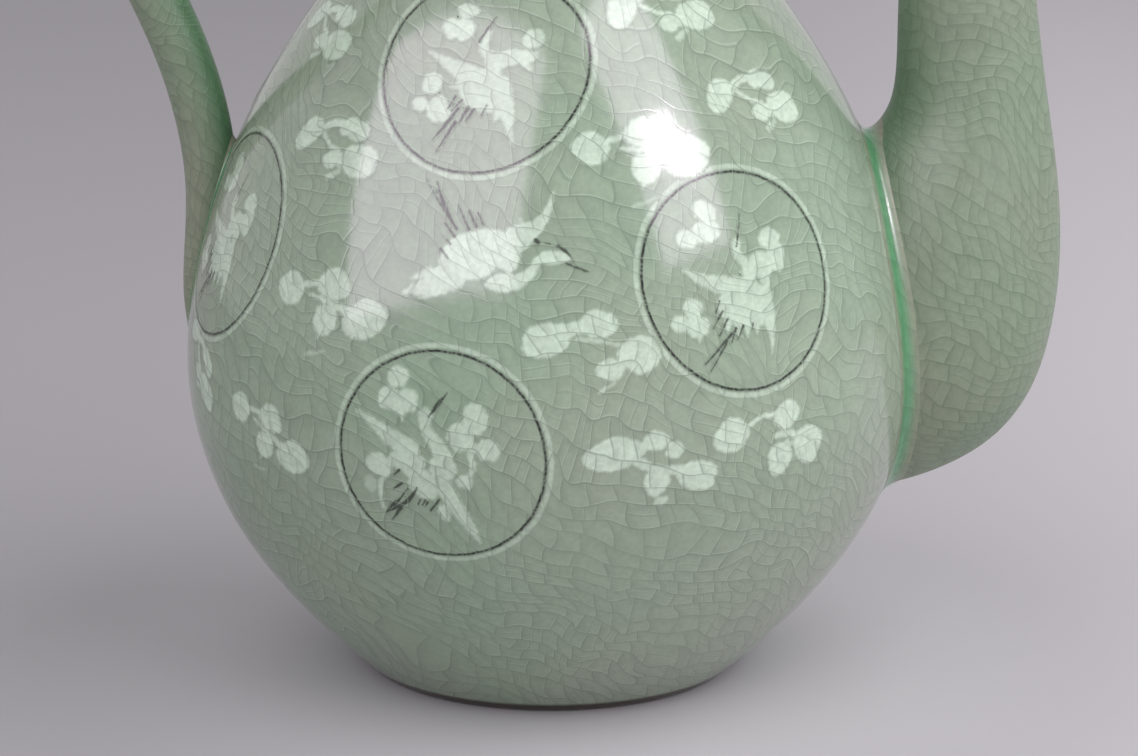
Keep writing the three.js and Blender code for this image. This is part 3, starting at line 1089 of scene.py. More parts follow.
@dataclass
class Fillet:
    """A concave band of clay and pooled glaze where a limb meets the pot's wall.

    Its edges lie limb_reach up the limb, tucked a little into it, and wall_reach out on the wall,
    lifted a hair off it. A lean above 1 moves the pooled glaze towards the wall.
    """

    name: str
    node: str
    limb_reach: float
    wall_reach: float
    arc_steps: int = 8
    depth: float = 1.2
    wall_lift: float = 0.03
    lean: float = 1.0
    tuck: float = 0.08
    pool_power: float = 1.5

    def build(self, rings: Sequence[Loop], from_start: bool) -> None:
        """Makes the band round a limb's end.

        Args:
            rings: the limb's rings in order.
            from_start: whether the limb's buried end is its first ring.
        """
        steps = [k / self.arc_steps for k in range(self.arc_steps + 1)]
        hits = crease(rings, from_start)
        away = 1 if from_start else -1
        middle = sum((hit for _, hit in hits), Vector()) / len(hits)
        sections = []
        count = len(hits)
        for i, (ring, hit) in enumerate(hits):
            normal = (hit - WALL.nearest(hit, -1.0)).normalized()
            along = (hits[(i + 1) % count][1] - hits[i - 1][1]).normalized()
            outwards = normal.cross(along).normalized()
            if outwards.dot(hit - middle) < 0:
                outwards = -outwards
            on_limb = walk(rings, i, hit, ring, away, self.limb_reach) - self.tuck * outwards
            on_wall = WALL.nearest(hit + self.wall_reach * outwards, self.wall_lift)
            inside = hit - self.depth * normal
            arc = [on_limb * (1 - t) ** 2 + 2 * hit * t * (1 - t) + on_wall * t**2 for t in steps]
            sections.append([*arc, WALL.nearest(on_wall, -self.depth), inside])
        pools = [math.sin(math.pi * t**self.lean) ** self.pool_power for t in steps]
        pools += [0.0, 0.0]
        made = skin(sections, closed=True, pool_and_shade=lambda _, i: pools[i])
        dress(finish_piece(self.name, made), Finish.POOL, "pot", "pooled_celadon_glaze", self.node)


@dataclass(frozen=True)
class SpoutStation:
    """One cross-section of the spout: its outer edge, inner edge and half width."""

    outer: Point
    inner: Point
    half_width: float


@dataclass
class Spout:
    """The hollow spout, from its teardrop base to its tip.

    The pool slope says how much glaze gathers, with painted shade on the side facing the pot, at
    the tip and how much more at the base.
    """

    stations: tuple[SpoutStation, ...] = (
        SpoutStation((60.0, 36.0), (44.0, 62.0), 12.0),
        SpoutStation((72.0, 38.4), (48.0, 72.0), 17.0),
        SpoutStation((82.0, 42.0), (52.0, 82.0), 21.0),
        SpoutStation((92.0, 48.5), (55.0, 91.0), 23.5),
        SpoutStation((99.0, 58.0), (58.0, 98.0), 24.0),
        SpoutStation((103.0, 71.0), (61.0, 104.5), 23.0),
        SpoutStation((104.4, 88.0), (64.5, 110.5), 20.5),
        SpoutStation((103.0, 105.6), (68.4, 116.0), 17.2),
        SpoutStation((101.0, 118.0), (69.9, 121.5), 15.3),
        SpoutStation((98.0, 138.3), (70.3, 138.3), 13.4),
        SpoutStation((95.8, 155.0), (71.6, 155.0), 11.8),
        SpoutStation((95.0, 172.0), (74.6, 172.5), 10.3),
        SpoutStation((97.0, 190.0), (80.0, 190.0), 9.0),
        SpoutStation((101.5, 206.0), (87.0, 206.6), 7.7),
        SpoutStation((107.0, 221.0), (94.3, 223.0), 6.6),
    )
    wall: float = 3.0
    lip_steps: int = 5
    lip_rings: int = 3
    sides: int = 96
    rings: int = 150
    inside_pool: float = 0.5
    pool_and_shade_strength: float = 0.8
    pool_power: float = 2.5
    pool_and_shade_slope: Point = (0.4, 0.8)

    def sections(self, growth: float) -> list[tuple[Vector, Vector, float]]:
        """Gives the shape of every ring of the spout's skin.

        Args:
            growth: how far outside the spout's own skin it lies, negative inside.

        Returns:
            Each ring's middle, its half thickness as a vector and its half width.
        """
        rows = natural_spline(
            [(*s.outer, *s.inner, s.half_width) for s in self.stations], self.rings
        ).tolist()
        made = []
        for outer_x, outer_z, inner_x, inner_z, half_width in rows:
            outer = Vector((outer_x, 0.0, outer_z))
            middle = (outer + Vector((inner_x, 0.0, inner_z))) / 2
            across = outer - middle
            across.length += growth
            made.append((middle, across, half_width + growth))
        return made

    def build(self) -> None:
        """Makes the spout and the pooled fillet round its base."""
        outside = [ellipse(*section, self.sides) for section in self.sections(0.0)]
        inside = [ellipse(*section, self.sides) for section in self.sections(-self.wall)]
        lip = []
        before_tip, tip = (section[0] for section in self.sections(0.0)[-2:])
        tip_along = (tip - before_tip).normalized()
        for k in range(1, self.lip_steps):
            turn = math.pi * k / self.lip_steps
            inset = self.wall * (1 - math.cos(turn)) / 2
            rise = self.wall * 0.5 * math.sin(turn) - self.wall * 0.5
            middle, across, half_width = self.sections(-inset)[-1]
            lip.append(ellipse(middle + rise * tip_along, across, half_width, self.sides))
        loops = [*outside[: -self.lip_rings], *lip, *reversed(inside[: -self.lip_rings])]
        piece = finish_piece("spout_glazed", skin(loops, closed=True, pool_and_shade=self.pool_and_shade(len(outside))))
        dress(piece, Finish.LIMB, "pot", "celadon_glaze", "spout")
        fillet = Fillet("spout_pooled_joint", "spout_luting", limb_reach=5.8, wall_reach=4.6, lean=1.4)
        fillet.build(outside, from_start=True)

    def pool_and_shade(self, outside_count: int) -> Callable[[int, int], float]:
        """Gives how the glaze gathers on the spout's side next to the pot, with painted shade there.

        Args:
            outside_count: how many rings the outside has.

        Returns:
            A function of ring and point.
        """
        top, slope = self.pool_and_shade_slope

        def amount(ring: int, point: int) -> float:
            """Gives the pooled glaze and painted shade at a point of a ring, most low down and facing the
            pot.
            """
            if ring > outside_count:
                return self.inside_pool
            # The side facing the pot gets painted shade as well as pooled glaze.
            facing = -math.cos(2 * math.pi * point / self.sides)
            low = 1 - ring / outside_count
            return self.pool_and_shade_strength * max(0.0, facing) ** self.pool_power * (top + slope * low)

        return amount


@dataclass(frozen=True)
class HandleStation:
    """One place on the handle's middle line, with the rod's half thickness and half width."""

    middle: Point
    half_thickness: float = 5.5
    half_width: float = 6.4


@dataclass
class Handle:
    """The pulled rod handle with its thumbed-down tail.

    side_pool is how the glaze gathers at the rod's sides, and facing_pool_and_shade what the pot's side
    adds:
    pooled glaze and painted shade.
    """

    stations: tuple[HandleStation, ...] = (
        HandleStation((-71.6, 68.0), 2.8, 3.8),
        HandleStation((-72.0, 77.0), 3.6, 4.7),
        HandleStation((-70.6, 90.0), 4.5, 5.7),
        HandleStation((-69.6, 102.0), 5.2, 6.2),
        HandleStation((-71.3, 116.0)),
        HandleStation((-75.0, 128.5)),
        HandleStation((-79.4, 139.0)),
        HandleStation((-86.5, 154.0)),
        HandleStation((-95.0, 174.0)),
        HandleStation((-100.5, 196.0)),
        HandleStation((-98.5, 216.0)),
        HandleStation((-89.0, 231.5)),
        HandleStation((-73.0, 239.0)),
        HandleStation((-56.0, 238.5), 5.6, 6.6),
        HandleStation((-42.0, 233.0), 6.2, 7.4),
        HandleStation((-28.0, 225.0), 6.8, 8.0),
    )
    sides: int = 64
    rings: int = 220
    side_pool: float = 0.5
    facing_pool_and_shade: float = 0.6

    def outline(self) -> list[Loop]:
        """Gives the rod's rings from the tail up and over to the upper bulb."""
        rows = natural_spline(
            [(*s.middle, s.half_thickness, s.half_width) for s in self.stations], self.rings
        ).tolist()
        middles = [Vector((row[0], 0.0, row[1])) for row in rows]
        rings = []
        for i, middle in enumerate(middles):
            along = middles[min(i + 1, self.rings - 1)] - middles[max(i - 1, 0)]
            along.normalize()
            across = rows[i][2] * Vector((along.z, 0.0, -along.x))
            rings.append(ellipse(middle, across, rows[i][3], self.sides))
        return rings

    def pool_and_shade(self, _: int, point: int) -> float:
        """Gives the pooled glaze and painted shade on the side of the rod that faces the pot."""
        # The side facing the pot gets painted shade as well as pooled glaze.
        facing = math.cos(2 * math.pi * point / self.sides)
        return max(0.0, self.side_pool + self.facing_pool_and_shade * facing) ** 2

    def build(self) -> None:
        """Makes the rod and the joints at its ends."""
        rings = self.outline()
        piece = finish_piece("handle_glazed", skin(rings, pool_and_shade=self.pool_and_shade))
        dress(piece, Finish.LIMB, "pot", "celadon_glaze", "handle")
        half = len(rings) // 2
        lower = Fillet("handle_lower_joint", "handle_lower_luting", limb_reach=2.4, wall_reach=2.2)
        lower.build(rings[:half], from_start=True)
        upper = Fillet("handle_upper_joint", "handle_upper_luting", limb_reach=2.6, wall_reach=2.6)
        upper.build(rings[half:], from_start=False)


@dataclass
class TieLoop:
    """A small ring of clay rod, sunk at its foot into what carries it."""

    name: str
    node: str
    body: str
    ring_radius: float = 5.2
    rod_radius: float = 1.7
    steps: int = 72
    sides: int = 24

    def build(self) -> None:
        """Makes the ring where the CAD node has it."""
        low, high = (Vector(corner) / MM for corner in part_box(self.node))
        x = (low.x + high.x) / 2
        z = high.z - self.ring_radius - self.rod_radius
        loops = []
        for k in range(self.steps):
            turn = 2 * math.pi * k / self.steps
            outwards = Vector((math.cos(turn), 0.0, math.sin(turn)))
            middle = Vector((x, 0.0, z)) + self.ring_radius * outwards
            loops.append(ellipse(middle, self.rod_radius * outwards, self.rod_radius, self.sides))
        piece = finish_piece(self.name, skin(loops, closed=True))
        dress(piece, Finish.LIMB, self.body, "celadon_glaze", self.node)


@dataclass
class Lid:
    """The domed lid with its flange and bud knob.

    The dome leaves the rim towards the shoulder, which has its inset and its share of the dome's
    rise, and turns flat crown_ease outside the crown. The bud's points are radii and heights over
    its base, which is sunk a little into the dome.
    """

    seat: float = 263.3
    radius: float = 18.5
    edge: float = 2.6
    dome_rise: float = 9.0
    crown_radius: float = 5.0
    wall: float = 2.8
    flange_radius: float = 12.0
    flange_depth: float = 9.0
    flange_wall: float = 2.6
    flange_edge: float = 1.0
    rim_edge: float = 1.2
    shoulder: Point = (1.0, 0.75)
    crown_ease: float = 6.0
    dome_steps: int = 25
    bud_sink: float = 0.4
    bud: tuple[Point, ...] = (
        (5.8, 0.0),
        (3.4, 1.4),
        (3.2, 2.5),
        (5.6, 6.25),
        (3.472, 10.0),
        (0.9, 12.85),
        (0.0, 13.1),
    )
    bud_samples: int = 48
    facets: int = 128

    def build(self) -> None:
        """Makes the lid and its knob."""
        bore = self.flange_radius - self.flange_wall
        bottom = self.seat - self.flange_depth
        edge_top = self.seat + self.edge
        top = edge_top + self.dome_rise
        r, flange = self.radius, self.flange_radius
        edge, rim = self.flange_edge, self.rim_edge
        inset, share = self.shoulder
        corners = [
            (r, edge_top),
            (r - inset, edge_top + self.dome_rise * share),
            (self.crown_radius + self.crown_ease, top),
            (0.0, top),
        ]
        a, b, c, d = (np.array(p) for p in corners)
        at = np.linspace(0, 1, self.dome_steps + 1)[:, None]
        dome = a * (1 - at) ** 3 + 3 * b * at * (1 - at) ** 2 + 3 * c * at**2 * (1 - at) + d * at**3
        outline = [
            (0.0, top - self.wall),
            (self.crown_radius, top - self.wall),
            (bore, edge_top),
            *rounded((bore, bottom), (bore, bottom + edge), (bore + edge, bottom)),
            *rounded((flange, bottom), (flange - edge, bottom), (flange, bottom + edge)),
            (flange, self.seat),
            *rounded((r, self.seat), (r - rim, self.seat), (r, self.seat + rim)),
            *[tuple(p) for p in dome],
        ]
        turn_piece("lid_glazed", outline, self.facets, "lid", "lid")
        base = top - self.bud_sink
        line = natural_spline([(r, base + height) for r, height in self.bud], self.bud_samples)
        knob = [(0.0, base), *[(max(0.0, r), z) for r, z in line]]
        turn_piece("lid_knob_glazed", knob, self.facets, "lid", "lid_knob")


# Inlay. Motifs are drawn in millimetres to the right and up of their centre on the wall.


def wall_arc() -> np.ndarray:
    """Gives the wall's samples as rows of radius, height, distance along it and its lean.

    Returns:
        The rows. The lean is the angle in radians by which the outward normal points up.
    """
    steps = np.diff(WALL.line, axis=0)
    along = np.concatenate([[0.0], np.cumsum(np.linalg.norm(steps, axis=1))])
    way = np.gradient(WALL.line, axis=0)
    return np.column_stack([WALL.line, along, np.arctan2(-way[:, 0], way[:, 1])])


WALL_ARC = wall_arc()
LOBE_REACH = 1.3
LEAST_REACH = 1e-3
POINT_POWER = 6
DENT_WAVES = (2, 3, 4, 5)
DENT_RANGE = (0.4, 1.0)
DENT_TURN = 6.28
STROKE_MARGIN = 1.0
MARK_SPACING = 0.22
LEAST_MARKS = 8


@dataclass(frozen=True)
class Placing:
    """Where a motif's centre lies on the wall, and how it is turned and scaled.

    Azimuth and turn are in degrees. The azimuth is 0 at the front and positive to the right.
    """

    azimuth: float
    height: float
    turn: float = 0.0
    scale: float = 1.0

    def on_wall(self, flat: np.ndarray, lift: float) -> np.ndarray:
        """Bends flat points onto the pot's wall.

        Args:
            flat: rows of x to the right and y up, in millimetres from the motif's centre.
            lift: how far the points stand proud of the wall.

        Returns:
            Rows of x, y and z in the pot's frame.
        """
        c, s = math.cos(math.radians(self.turn)), math.sin(math.radians(self.turn))
        right = self.scale * (flat[:, 0] * c - flat[:, 1] * s)
        up = self.scale * (flat[:, 0] * s + flat[:, 1] * c)
        radii, heights, distances, leans = WALL_ARC.T
        along = np.interp(self.height, heights, distances) + up
        lean = np.interp(along, distances, leans)
        radius = np.interp(along, distances, radii)
        turn = math.radians(self.azimuth) + right / radius
        radius = radius + lift * np.cos(lean)
        height = np.interp(along, distances, heights) + lift * np.sin(lean)
        return np.column_stack([radius * np.sin(turn), -radius * np.cos(turn), height])


@dataclass(frozen=True)
class Lobe:
    """A rounded patch of slip: a lobe of cloud, or a bird's body or head.

    The turn is in degrees. The point says how far its end is drawn out, the density how much slip
    it holds and the dents how uneven its edge is. The dents are drawn by chance from its place.
    """

    x: float
    y: float
    half_length: float
    half_width: float
    turn: float = 0.0
    point: float = 0.0
    density: float = 0.85
    dents: float = 0.07

    def bounds(self) -> tuple[float, float, float, float]:
        """Gives the lowest x and y and the highest x and y that it may reach."""
        reach = LOBE_REACH * max(self.half_length * (1 + self.point), self.half_width)
        return self.x - reach, self.y - reach, self.x + reach, self.y + reach

    def depth(self, x: np.ndarray, y: np.ndarray) -> np.ndarray:
        """Gives how deep points lie inside the edge, negative outside.

        Args:
            x: the points' places to the right.
            y: the points' places upwards.

        Returns:
            The depths in millimetres.
        """
        turn = math.radians(self.turn)
        right, up = x - self.x, y - self.y
        u = (right * math.cos(turn) + up * math.sin(turn)) / self.half_length
        v = (up * math.cos(turn) - right * math.sin(turn)) / self.half_width
        share = np.maximum(np.hypot(u, v), LEAST_REACH)
        angle = np.arctan2(v, u)
        rng = random.Random(f"{self.x} {self.y}")
        edge = 1 + self.point * np.maximum(0.0, np.cos(angle)) ** POINT_POWER
        for waves in DENT_WAVES:
            height = self.dents * rng.uniform(*DENT_RANGE) * 2 / waves
            edge += height * np.cos(waves * angle + rng.uniform(0.0, DENT_TURN))
        return (edge - share) * np.maximum(np.hypot(right, up), LEAST_REACH) / share


@dataclass(frozen=True)
class Stroke:
    """A tapered brush stroke through a few points."""

    points: tuple[Point, ...]
    widths: tuple[float, ...]
    density: float = 0.85

    def bounds(self) -> tuple[float, float, float, float]:
        """Gives the lowest x and y and the highest x and y that it may reach."""
        spots = np.array(self.points)
        reach = max(self.widths) / 2 + STROKE_MARGIN
        return (*(spots.min(axis=0) - reach), *(spots.max(axis=0) + reach))

    def depth(self, x: np.ndarray, y: np.ndarray) -> np.ndarray:
        """Gives how deep points lie inside the stroke's edge, negative outside.

        Args:
            x: the points' places to the right.
            y: the points' places upwards.

        Returns:
            The depths in millimetres.
        """
        length = sum(math.dist(a, b) for a, b in zip(self.points, self.points[1:]))
        count = max(LEAST_MARKS, int(length / MARK_SPACING))
        line = natural_spline(self.points, count)
        marks = np.linspace(0, 1, len(self.widths))
        half = np.interp(np.linspace(0, 1, count), marks, self.widths) / 2
        gap = np.hypot(x[:, None] - line[:, 0], y[:, None] - line[:, 1])
        return (half - gap).max(axis=1)


Shape = Lobe | Stroke
EDGE_WAVES = ((3.1, 1.7, 0.0), (-2.3, 4.1, 1.0), (8.3, 5.9, 0.0))
EDGE_WAVER = 0.22
LEAST_SLIP = 0.003


@dataclass(frozen=True)
class Motif:
    """A figure in white slip with fine strokes of black slip over it, each with its soft edge."""

    white: tuple[Shape, ...]
    black: tuple[Shape, ...] = ()
    white_soft: float = 0.34
    black_soft: float = 0.17

    @staticmethod
    def cover(shapes: Sequence[Shape], x: np.ndarray, y: np.ndarray, soft: float) -> np.ndarray:
        """Gives how much slip of some shapes lies at points, with soft wavering edges.

        Args:
            shapes: the shapes.
            x: the points' places to the right.
            y: the points' places upwards.
            soft: half the width over which an edge fades.

        Returns:
            Shares from 0 to 1.
        """
        laid = np.zeros_like(x)
        waver = sum(np.sin(a * x + b * y + phase) for a, b, phase in EDGE_WAVES)
        for shape in shapes:
            low_x, low_y, high_x, high_y = shape.bounds()
            near = (x > low_x) & (x < high_x) & (y > low_y) & (y < high_y)
            depth = shape.depth(x[near], y[near]) + EDGE_WAVER * soft * waver[near]
            share = np.clip(0.5 + depth / (2 * soft), 0.0, 1.0)
            share = shape.density * share**2 * (3 - 2 * share)
            laid[near] = np.maximum(laid[near], share)
        return laid

    def slip(self, x: np.ndarray, y: np.ndarray) -> np.ndarray:
        """Gives the share of white slip at points."""
        return self.cover(self.white, x, y, self.white_soft)

    def ink(self, x: np.ndarray, y: np.ndarray) -> np.ndarray:
        """Gives the share of black slip at points."""
        return self.cover(self.black, x, y, self.black_soft)


@dataclass(frozen=True)
class Ring:
    """A ring of slip round a medallion, with soft edges that waver and an uneven strength.

    Each wave has its count round the ring and its phase. The fullness and the edge's power say how
    broad the middle is, where all the slip lies. A row of the ring's grid is row_cells cells long.
    """

    radius: float
    width: float
    strength: float
    unevenness: float
    black: bool = False
    columns: int = 6
    row_cells: float = 1.6
    waver: float = 0.025
    waver_waves: tuple[Point, ...] = ((11, 0.4), (23, 1.1), (41, 2.3), (67, 0.2))
    uneven_waves: tuple[Point, ...] = ((89, 0.7), (131, 1.9), (173, 0.3), (19, 0.9))
    least: float = 0.1
    fullness: float = 1.5
    edge_power: float = 1.6


@dataclass
class Inlay:
    """Thin pieces that follow the pot's wall and carry its slip, gathered into one mesh.

    Each point holds how much white slip and black slip lies there, in attributes named slip and
    ink. Where neither lies, the piece looks as the wall round it does. The cell is the size of its
    facets, the lift how proud of the wall it stands, and the thickness runs into the wall.
    """

    name: str
    cell: float
    lift: float
    thickness: float = 0.25
    mesh_maker: Maker = field(default_factory=bmesh.new)

    def __post_init__(self) -> None:
        """Adds the attributes to the mesh."""
        self.slip = self.mesh_maker.verts.layers.float.new("slip")
        self.ink = self.mesh_maker.verts.layers.float.new("ink")

    def add_motif(self, motif: Motif, place: Placing, in_black: bool = False) -> None:
        """Adds the part of the wall that a motif's white or black shapes cover.

        Args:
            motif: the motif.
            place: where its centre lies.
            in_black: whether its black shapes are added, else its white ones.
        """
        shapes = motif.black if in_black else motif.white
        edges = np.array([shape.bounds() for shape in shapes])
        low, high = edges[:, :2].min(axis=0), edges[:, 2:].max(axis=0)
        steps = np.ceil((high - low) * place.scale / self.cell).astype(int)
        made = bmesh.ops.create_grid(
            self.mesh_maker, x_segments=int(steps[0]), y_segments=int(steps[1]), size=1.0
        )
        verts = made["verts"]
        flat = np.array([vertex.co[:2] for vertex in verts])
        flat = low + (flat + 1) / 2 * (high - low)
        slip = motif.slip(flat[:, 0], flat[:, 1])
        ink = motif.ink(flat[:, 0], flat[:, 1]) if in_black else np.zeros_like(slip)
        shown = (ink if in_black else slip) > LEAST_SLIP
        spots = place.on_wall(flat, self.lift)
        covered = {vertex for vertex, is_shown in zip(verts, shown) if is_shown}
        faces = {facet for vertex in verts for facet in vertex.link_faces}
        kept = {facet for vertex in covered for facet in vertex.link_faces}
        for vertex, spot, white, black in zip(verts, spots, slip, ink):
            vertex.co = spot
            vertex[self.slip] = white
            vertex[self.ink] = black
        bmesh.ops.delete(self.mesh_maker, geom=list(faces - kept), context="FACES")

    def add_ring(self, place: Placing, ring: Ring) -> None:
        """Adds one ring of slip round a medallion.

        Args:
            place: the medallion's centre.
            ring: the ring.
        """
        length = 2 * math.pi * ring.radius * place.scale
        rows = int(length / (self.cell * ring.row_cells))
        made = bmesh.ops.create_grid(self.mesh_maker, x_segments=ring.columns, y_segments=rows, size=1.0)
        verts = made["verts"]
        square = np.array([vertex.co[:2] for vertex in verts])
        turn = math.pi * square[:, 1]
        waver, uneven = (
            sum(np.sin(count * turn + phase + place.azimuth) for count, phase in waves)
            for waves in (ring.waver_waves, ring.uneven_waves)
        )
        reach = ring.radius + ring.waver * waver + square[:, 0] * ring.width / 2
        flat = np.column_stack([reach * np.sin(turn), -reach * np.cos(turn)])
        share = np.clip(ring.fullness * (1 - np.abs(square[:, 0]) ** ring.edge_power), 0, 1)
        share *= np.clip(ring.strength + ring.unevenness * uneven, ring.least, 1.0)
        for vertex, spot, laid in zip(verts, place.on_wall(flat, self.lift), share):
            vertex.co = spot
            vertex[self.ink if ring.black else self.slip] = laid
        bmesh.ops.remove_doubles(self.mesh_maker, verts=verts, dist=self.cell / 50)

    def build(self) -> None:
        """Gives the sheets a thickness into the wall and makes the object."""
        maker = self.mesh_maker
        for facet in maker.faces:
            facet.normal_update()
            centre = facet.calc_center_median()
            if facet.normal.dot(Vector((centre.x, centre.y, 0.0))) < 0:
                facet.normal_flip()
        bmesh.ops.solidify(maker, geom=list(maker.faces), thickness=self.thickness)
        dress(finish_piece(self.name, maker), Finish.INLAY, "pot", "celadon_glaze")


CRANE = 0.72
FAINT = 0.4
BRUSH = 1.05


Brushed = tuple[Sequence[Point], Sequence[float]]


def crane(*parts: Brushed, density: float = CRANE) -> tuple[Stroke, ...]:
    """Gives a bird's white strokes from pairs of points and widths, all of one density."""
    return tuple(Stroke(tuple(points), tuple(widths), density) for points, widths in parts)


def brush(*parts: Brushed) -> tuple[Stroke, ...]:
    """Gives black strokes from pairs of points and widths."""
    return tuple(Stroke(tuple(points), tuple(BRUSH * w for w in widths)) for points, widths in parts)


RISING_CRANE = Motif(
    white=(
        *crane(
            (((-16.9, 8), (-12.3, 5.3), (-8.9, 3.1), (-5.5, 1.5)), (0.3, 1.9, 3.4, 4.0)),
            (((-2.7, 8), (-2.2, 5.3), (-0.4, 2.9), (1, 0.3)), (2, 2.3, 2.8, 3.7)),
            (((0.1, -4), (1.9, -7.4), (4.1, -11.1), (5.7, -14.2), (7, -17.3)), (3.6, 3.2, 2.8, 1.9, 0.25)),
            (((-10.4, -3.5), (-11.8, -5.6), (-12.1, -8), (-11.9, -11)), (1.1, 1.1, 0.9, 0.6)),
            (((-6, -2), (-3, -4.5)), (3.4, 3.8)),
        ),
        Lobe(-2.4, 8.3, 1.4, 1.4, density=CRANE),
        Lobe(-12.2, -2.2, 2.9, 2.2, density=CRANE),
        Lobe(-6.4, -0.9, 3.8, 2.2, density=CRANE),
        Lobe(0.9, -1.7, 2.7, 2.3, density=CRANE),
        Lobe(-2.7, -5.6, 3.2, 2.7, density=CRANE),
        Lobe(0.7, -11, 1.3, 1.8, density=CRANE),
        Lobe(-14.2, -6.3, 1.4, 1.7, density=FAINT),
        Lobe(-8.1, 15, 2.2, 2.0),
        Lobe(-9.9, 10.8, 2.2, 2.3),
        Lobe(-5.9, 10.8, 2.1, 2.2),
        Lobe(-7.9, 10.4, 2.4, 2.0),
        Stroke(((-7.3, 8.6), (-7, 6.8)), (1.6, 0.2)),
        Lobe(7.2, 8, 2.6, 2.9, density=0.75),
        Lobe(4.4, 4.5, 2.4, 2.9, -20, density=0.75),
        Lobe(9.7, 2.2, 2.1, 2.2, density=0.75),
        Lobe(6.9, 2.5, 1.2, 1.2, density=0.7),
        Stroke(((6.3, 1.2), (6.7, -0.6), (6, -3.1)), (1.2, 1.3, 1), 0.7),
        Lobe(5, -4.3, 1.6, 1.4, density=0.7),
    ),
    black=brush(
        (((-1.8, 7.9), (0.1, 10.5), (1.8, 12.7)), (0.2, 0.9, 0.2)),
        (((-7.9, -2.9), (-8.9, -3.9)), (0.5, 0.4)),
        (((-7.6, -5.6), (-9.2, -6.8)), (0.6, 0.4)),
        (((-4.5, -6.2), (-6.1, -8.6), (-8.2, -10.2), (-11.3, -12)), (0.4, 0.9, 0.7, 0.3)),
        (((-8.2, -10.8), (-10.2, -13.6)), (0.9, 0.2)),
        (((-9.2, -9.6), (-11, -11.7)), (0.7, 0.4)),
        (((-6.4, -6.6), (-9.4, -10.4)), (0.3, 0.6)),
        (((-3.9, -8.6), (-4.5, -9.6)), (0.4, 0.3)),
        (((-3, -8.6), (-3.6, -9.7)), (0.4, 0.3)),
        (((-2.5, -9), (-3.1, -10)), (0.4, 0.3)),
        (((-0.2, -8.3), (-2.1, -10.8)), (0.5, 0.4)),
    ),
)
GLIDING_CRANE = Motif(
    white=(
        *crane(
            (((-12.2, 2.9), (-8.3, 0.7), (-4.2, -0.7), (-0.2, -2)), (0.3, 2.2, 3.6, 4.8)),
            (((3.5, -3.8), (4.8, -8.3), (5, -11.4), (4.7, -14.1)), (5, 3.2, 1.2, 0.2)),
            (((-0.2, 7), (-0.4, 4.9), (0.8, 3.3), (1.4, 0.6), (1.5, -1.4)), (1.7, 1.8, 1.9, 2.6, 3.2)),
            (((-4.3, -7), (-4.6, -9.2)), (1.6, 0.3)),
            (((-2.2, -7.6), (-2.5, -10.2)), (1.8, 0.3)),
            (((-0.3, -7.8), (-0.6, -10.6)), (1.8, 0.3)),
            (((1.9, -7.4), (1.7, -10.2)), (1.8, 0.3)),
        ),
        Lobe(-0.6, -5.1, 5.4, 3.7, -20, density=CRANE),
        Lobe(-5.8, 13.4, 2.4, 2, -40),
        Lobe(-6.1, 9.6, 3, 2),
        Lobe(-10.4, 8.5, 2, 1.7),
        Lobe(7.4, 7.1, 2.4, 2, density=0.8),
        Lobe(8.2, 3.7, 2.2, 3, density=0.78),
        Lobe(4.6, 2.4, 2.9, 2.6, density=0.75),
        Stroke(((4.9, 0.4), (5.2, -3)), (2.8, 0.5), 0.7),
        Lobe(-11.3, -4.3, 1.8, 1.9),
        Lobe(-14.1, -7, 1.7, 1.6),
        Lobe(-10.7, -7.6, 2.4, 2.1),
        Stroke(((-10.6, -8.9), (-10.7, -10.5)), (1.4, 0.2)),
    ),
    black=brush(
        (((1.6, 12.3), (0.7, 9.4), (-0.3, 6.4)), (0.17, 0.32, 0.42)),
        (((-5.7, -3.5), (-6.8, -5.6)), (0.35, 0.28)),
        (((-5.4, -5.4), (-7.6, -8.3)), (0.56, 0.21)),
        (((-4.5, -6.9), (-6.5, -9.8)), (0.49, 0.21)),
        (((-3.6, -9.4), (-6.8, -12.1), (-10, -14.8)), (0.49, 0.56, 0.21)),
        (((-5, -10.9), (-9.1, -16.4)), (0.49, 0.21)),
        (((-2.9, -8.7), (-4.2, -11.4)), (0.56, 0.21)),
        (((-1.3, -8.5), (-2.8, -10.9)), (0.56, 0.21)),
        (((0.9, -8.2), (0.6, -9.4)), (0.28, 0.21)),
    ),
)
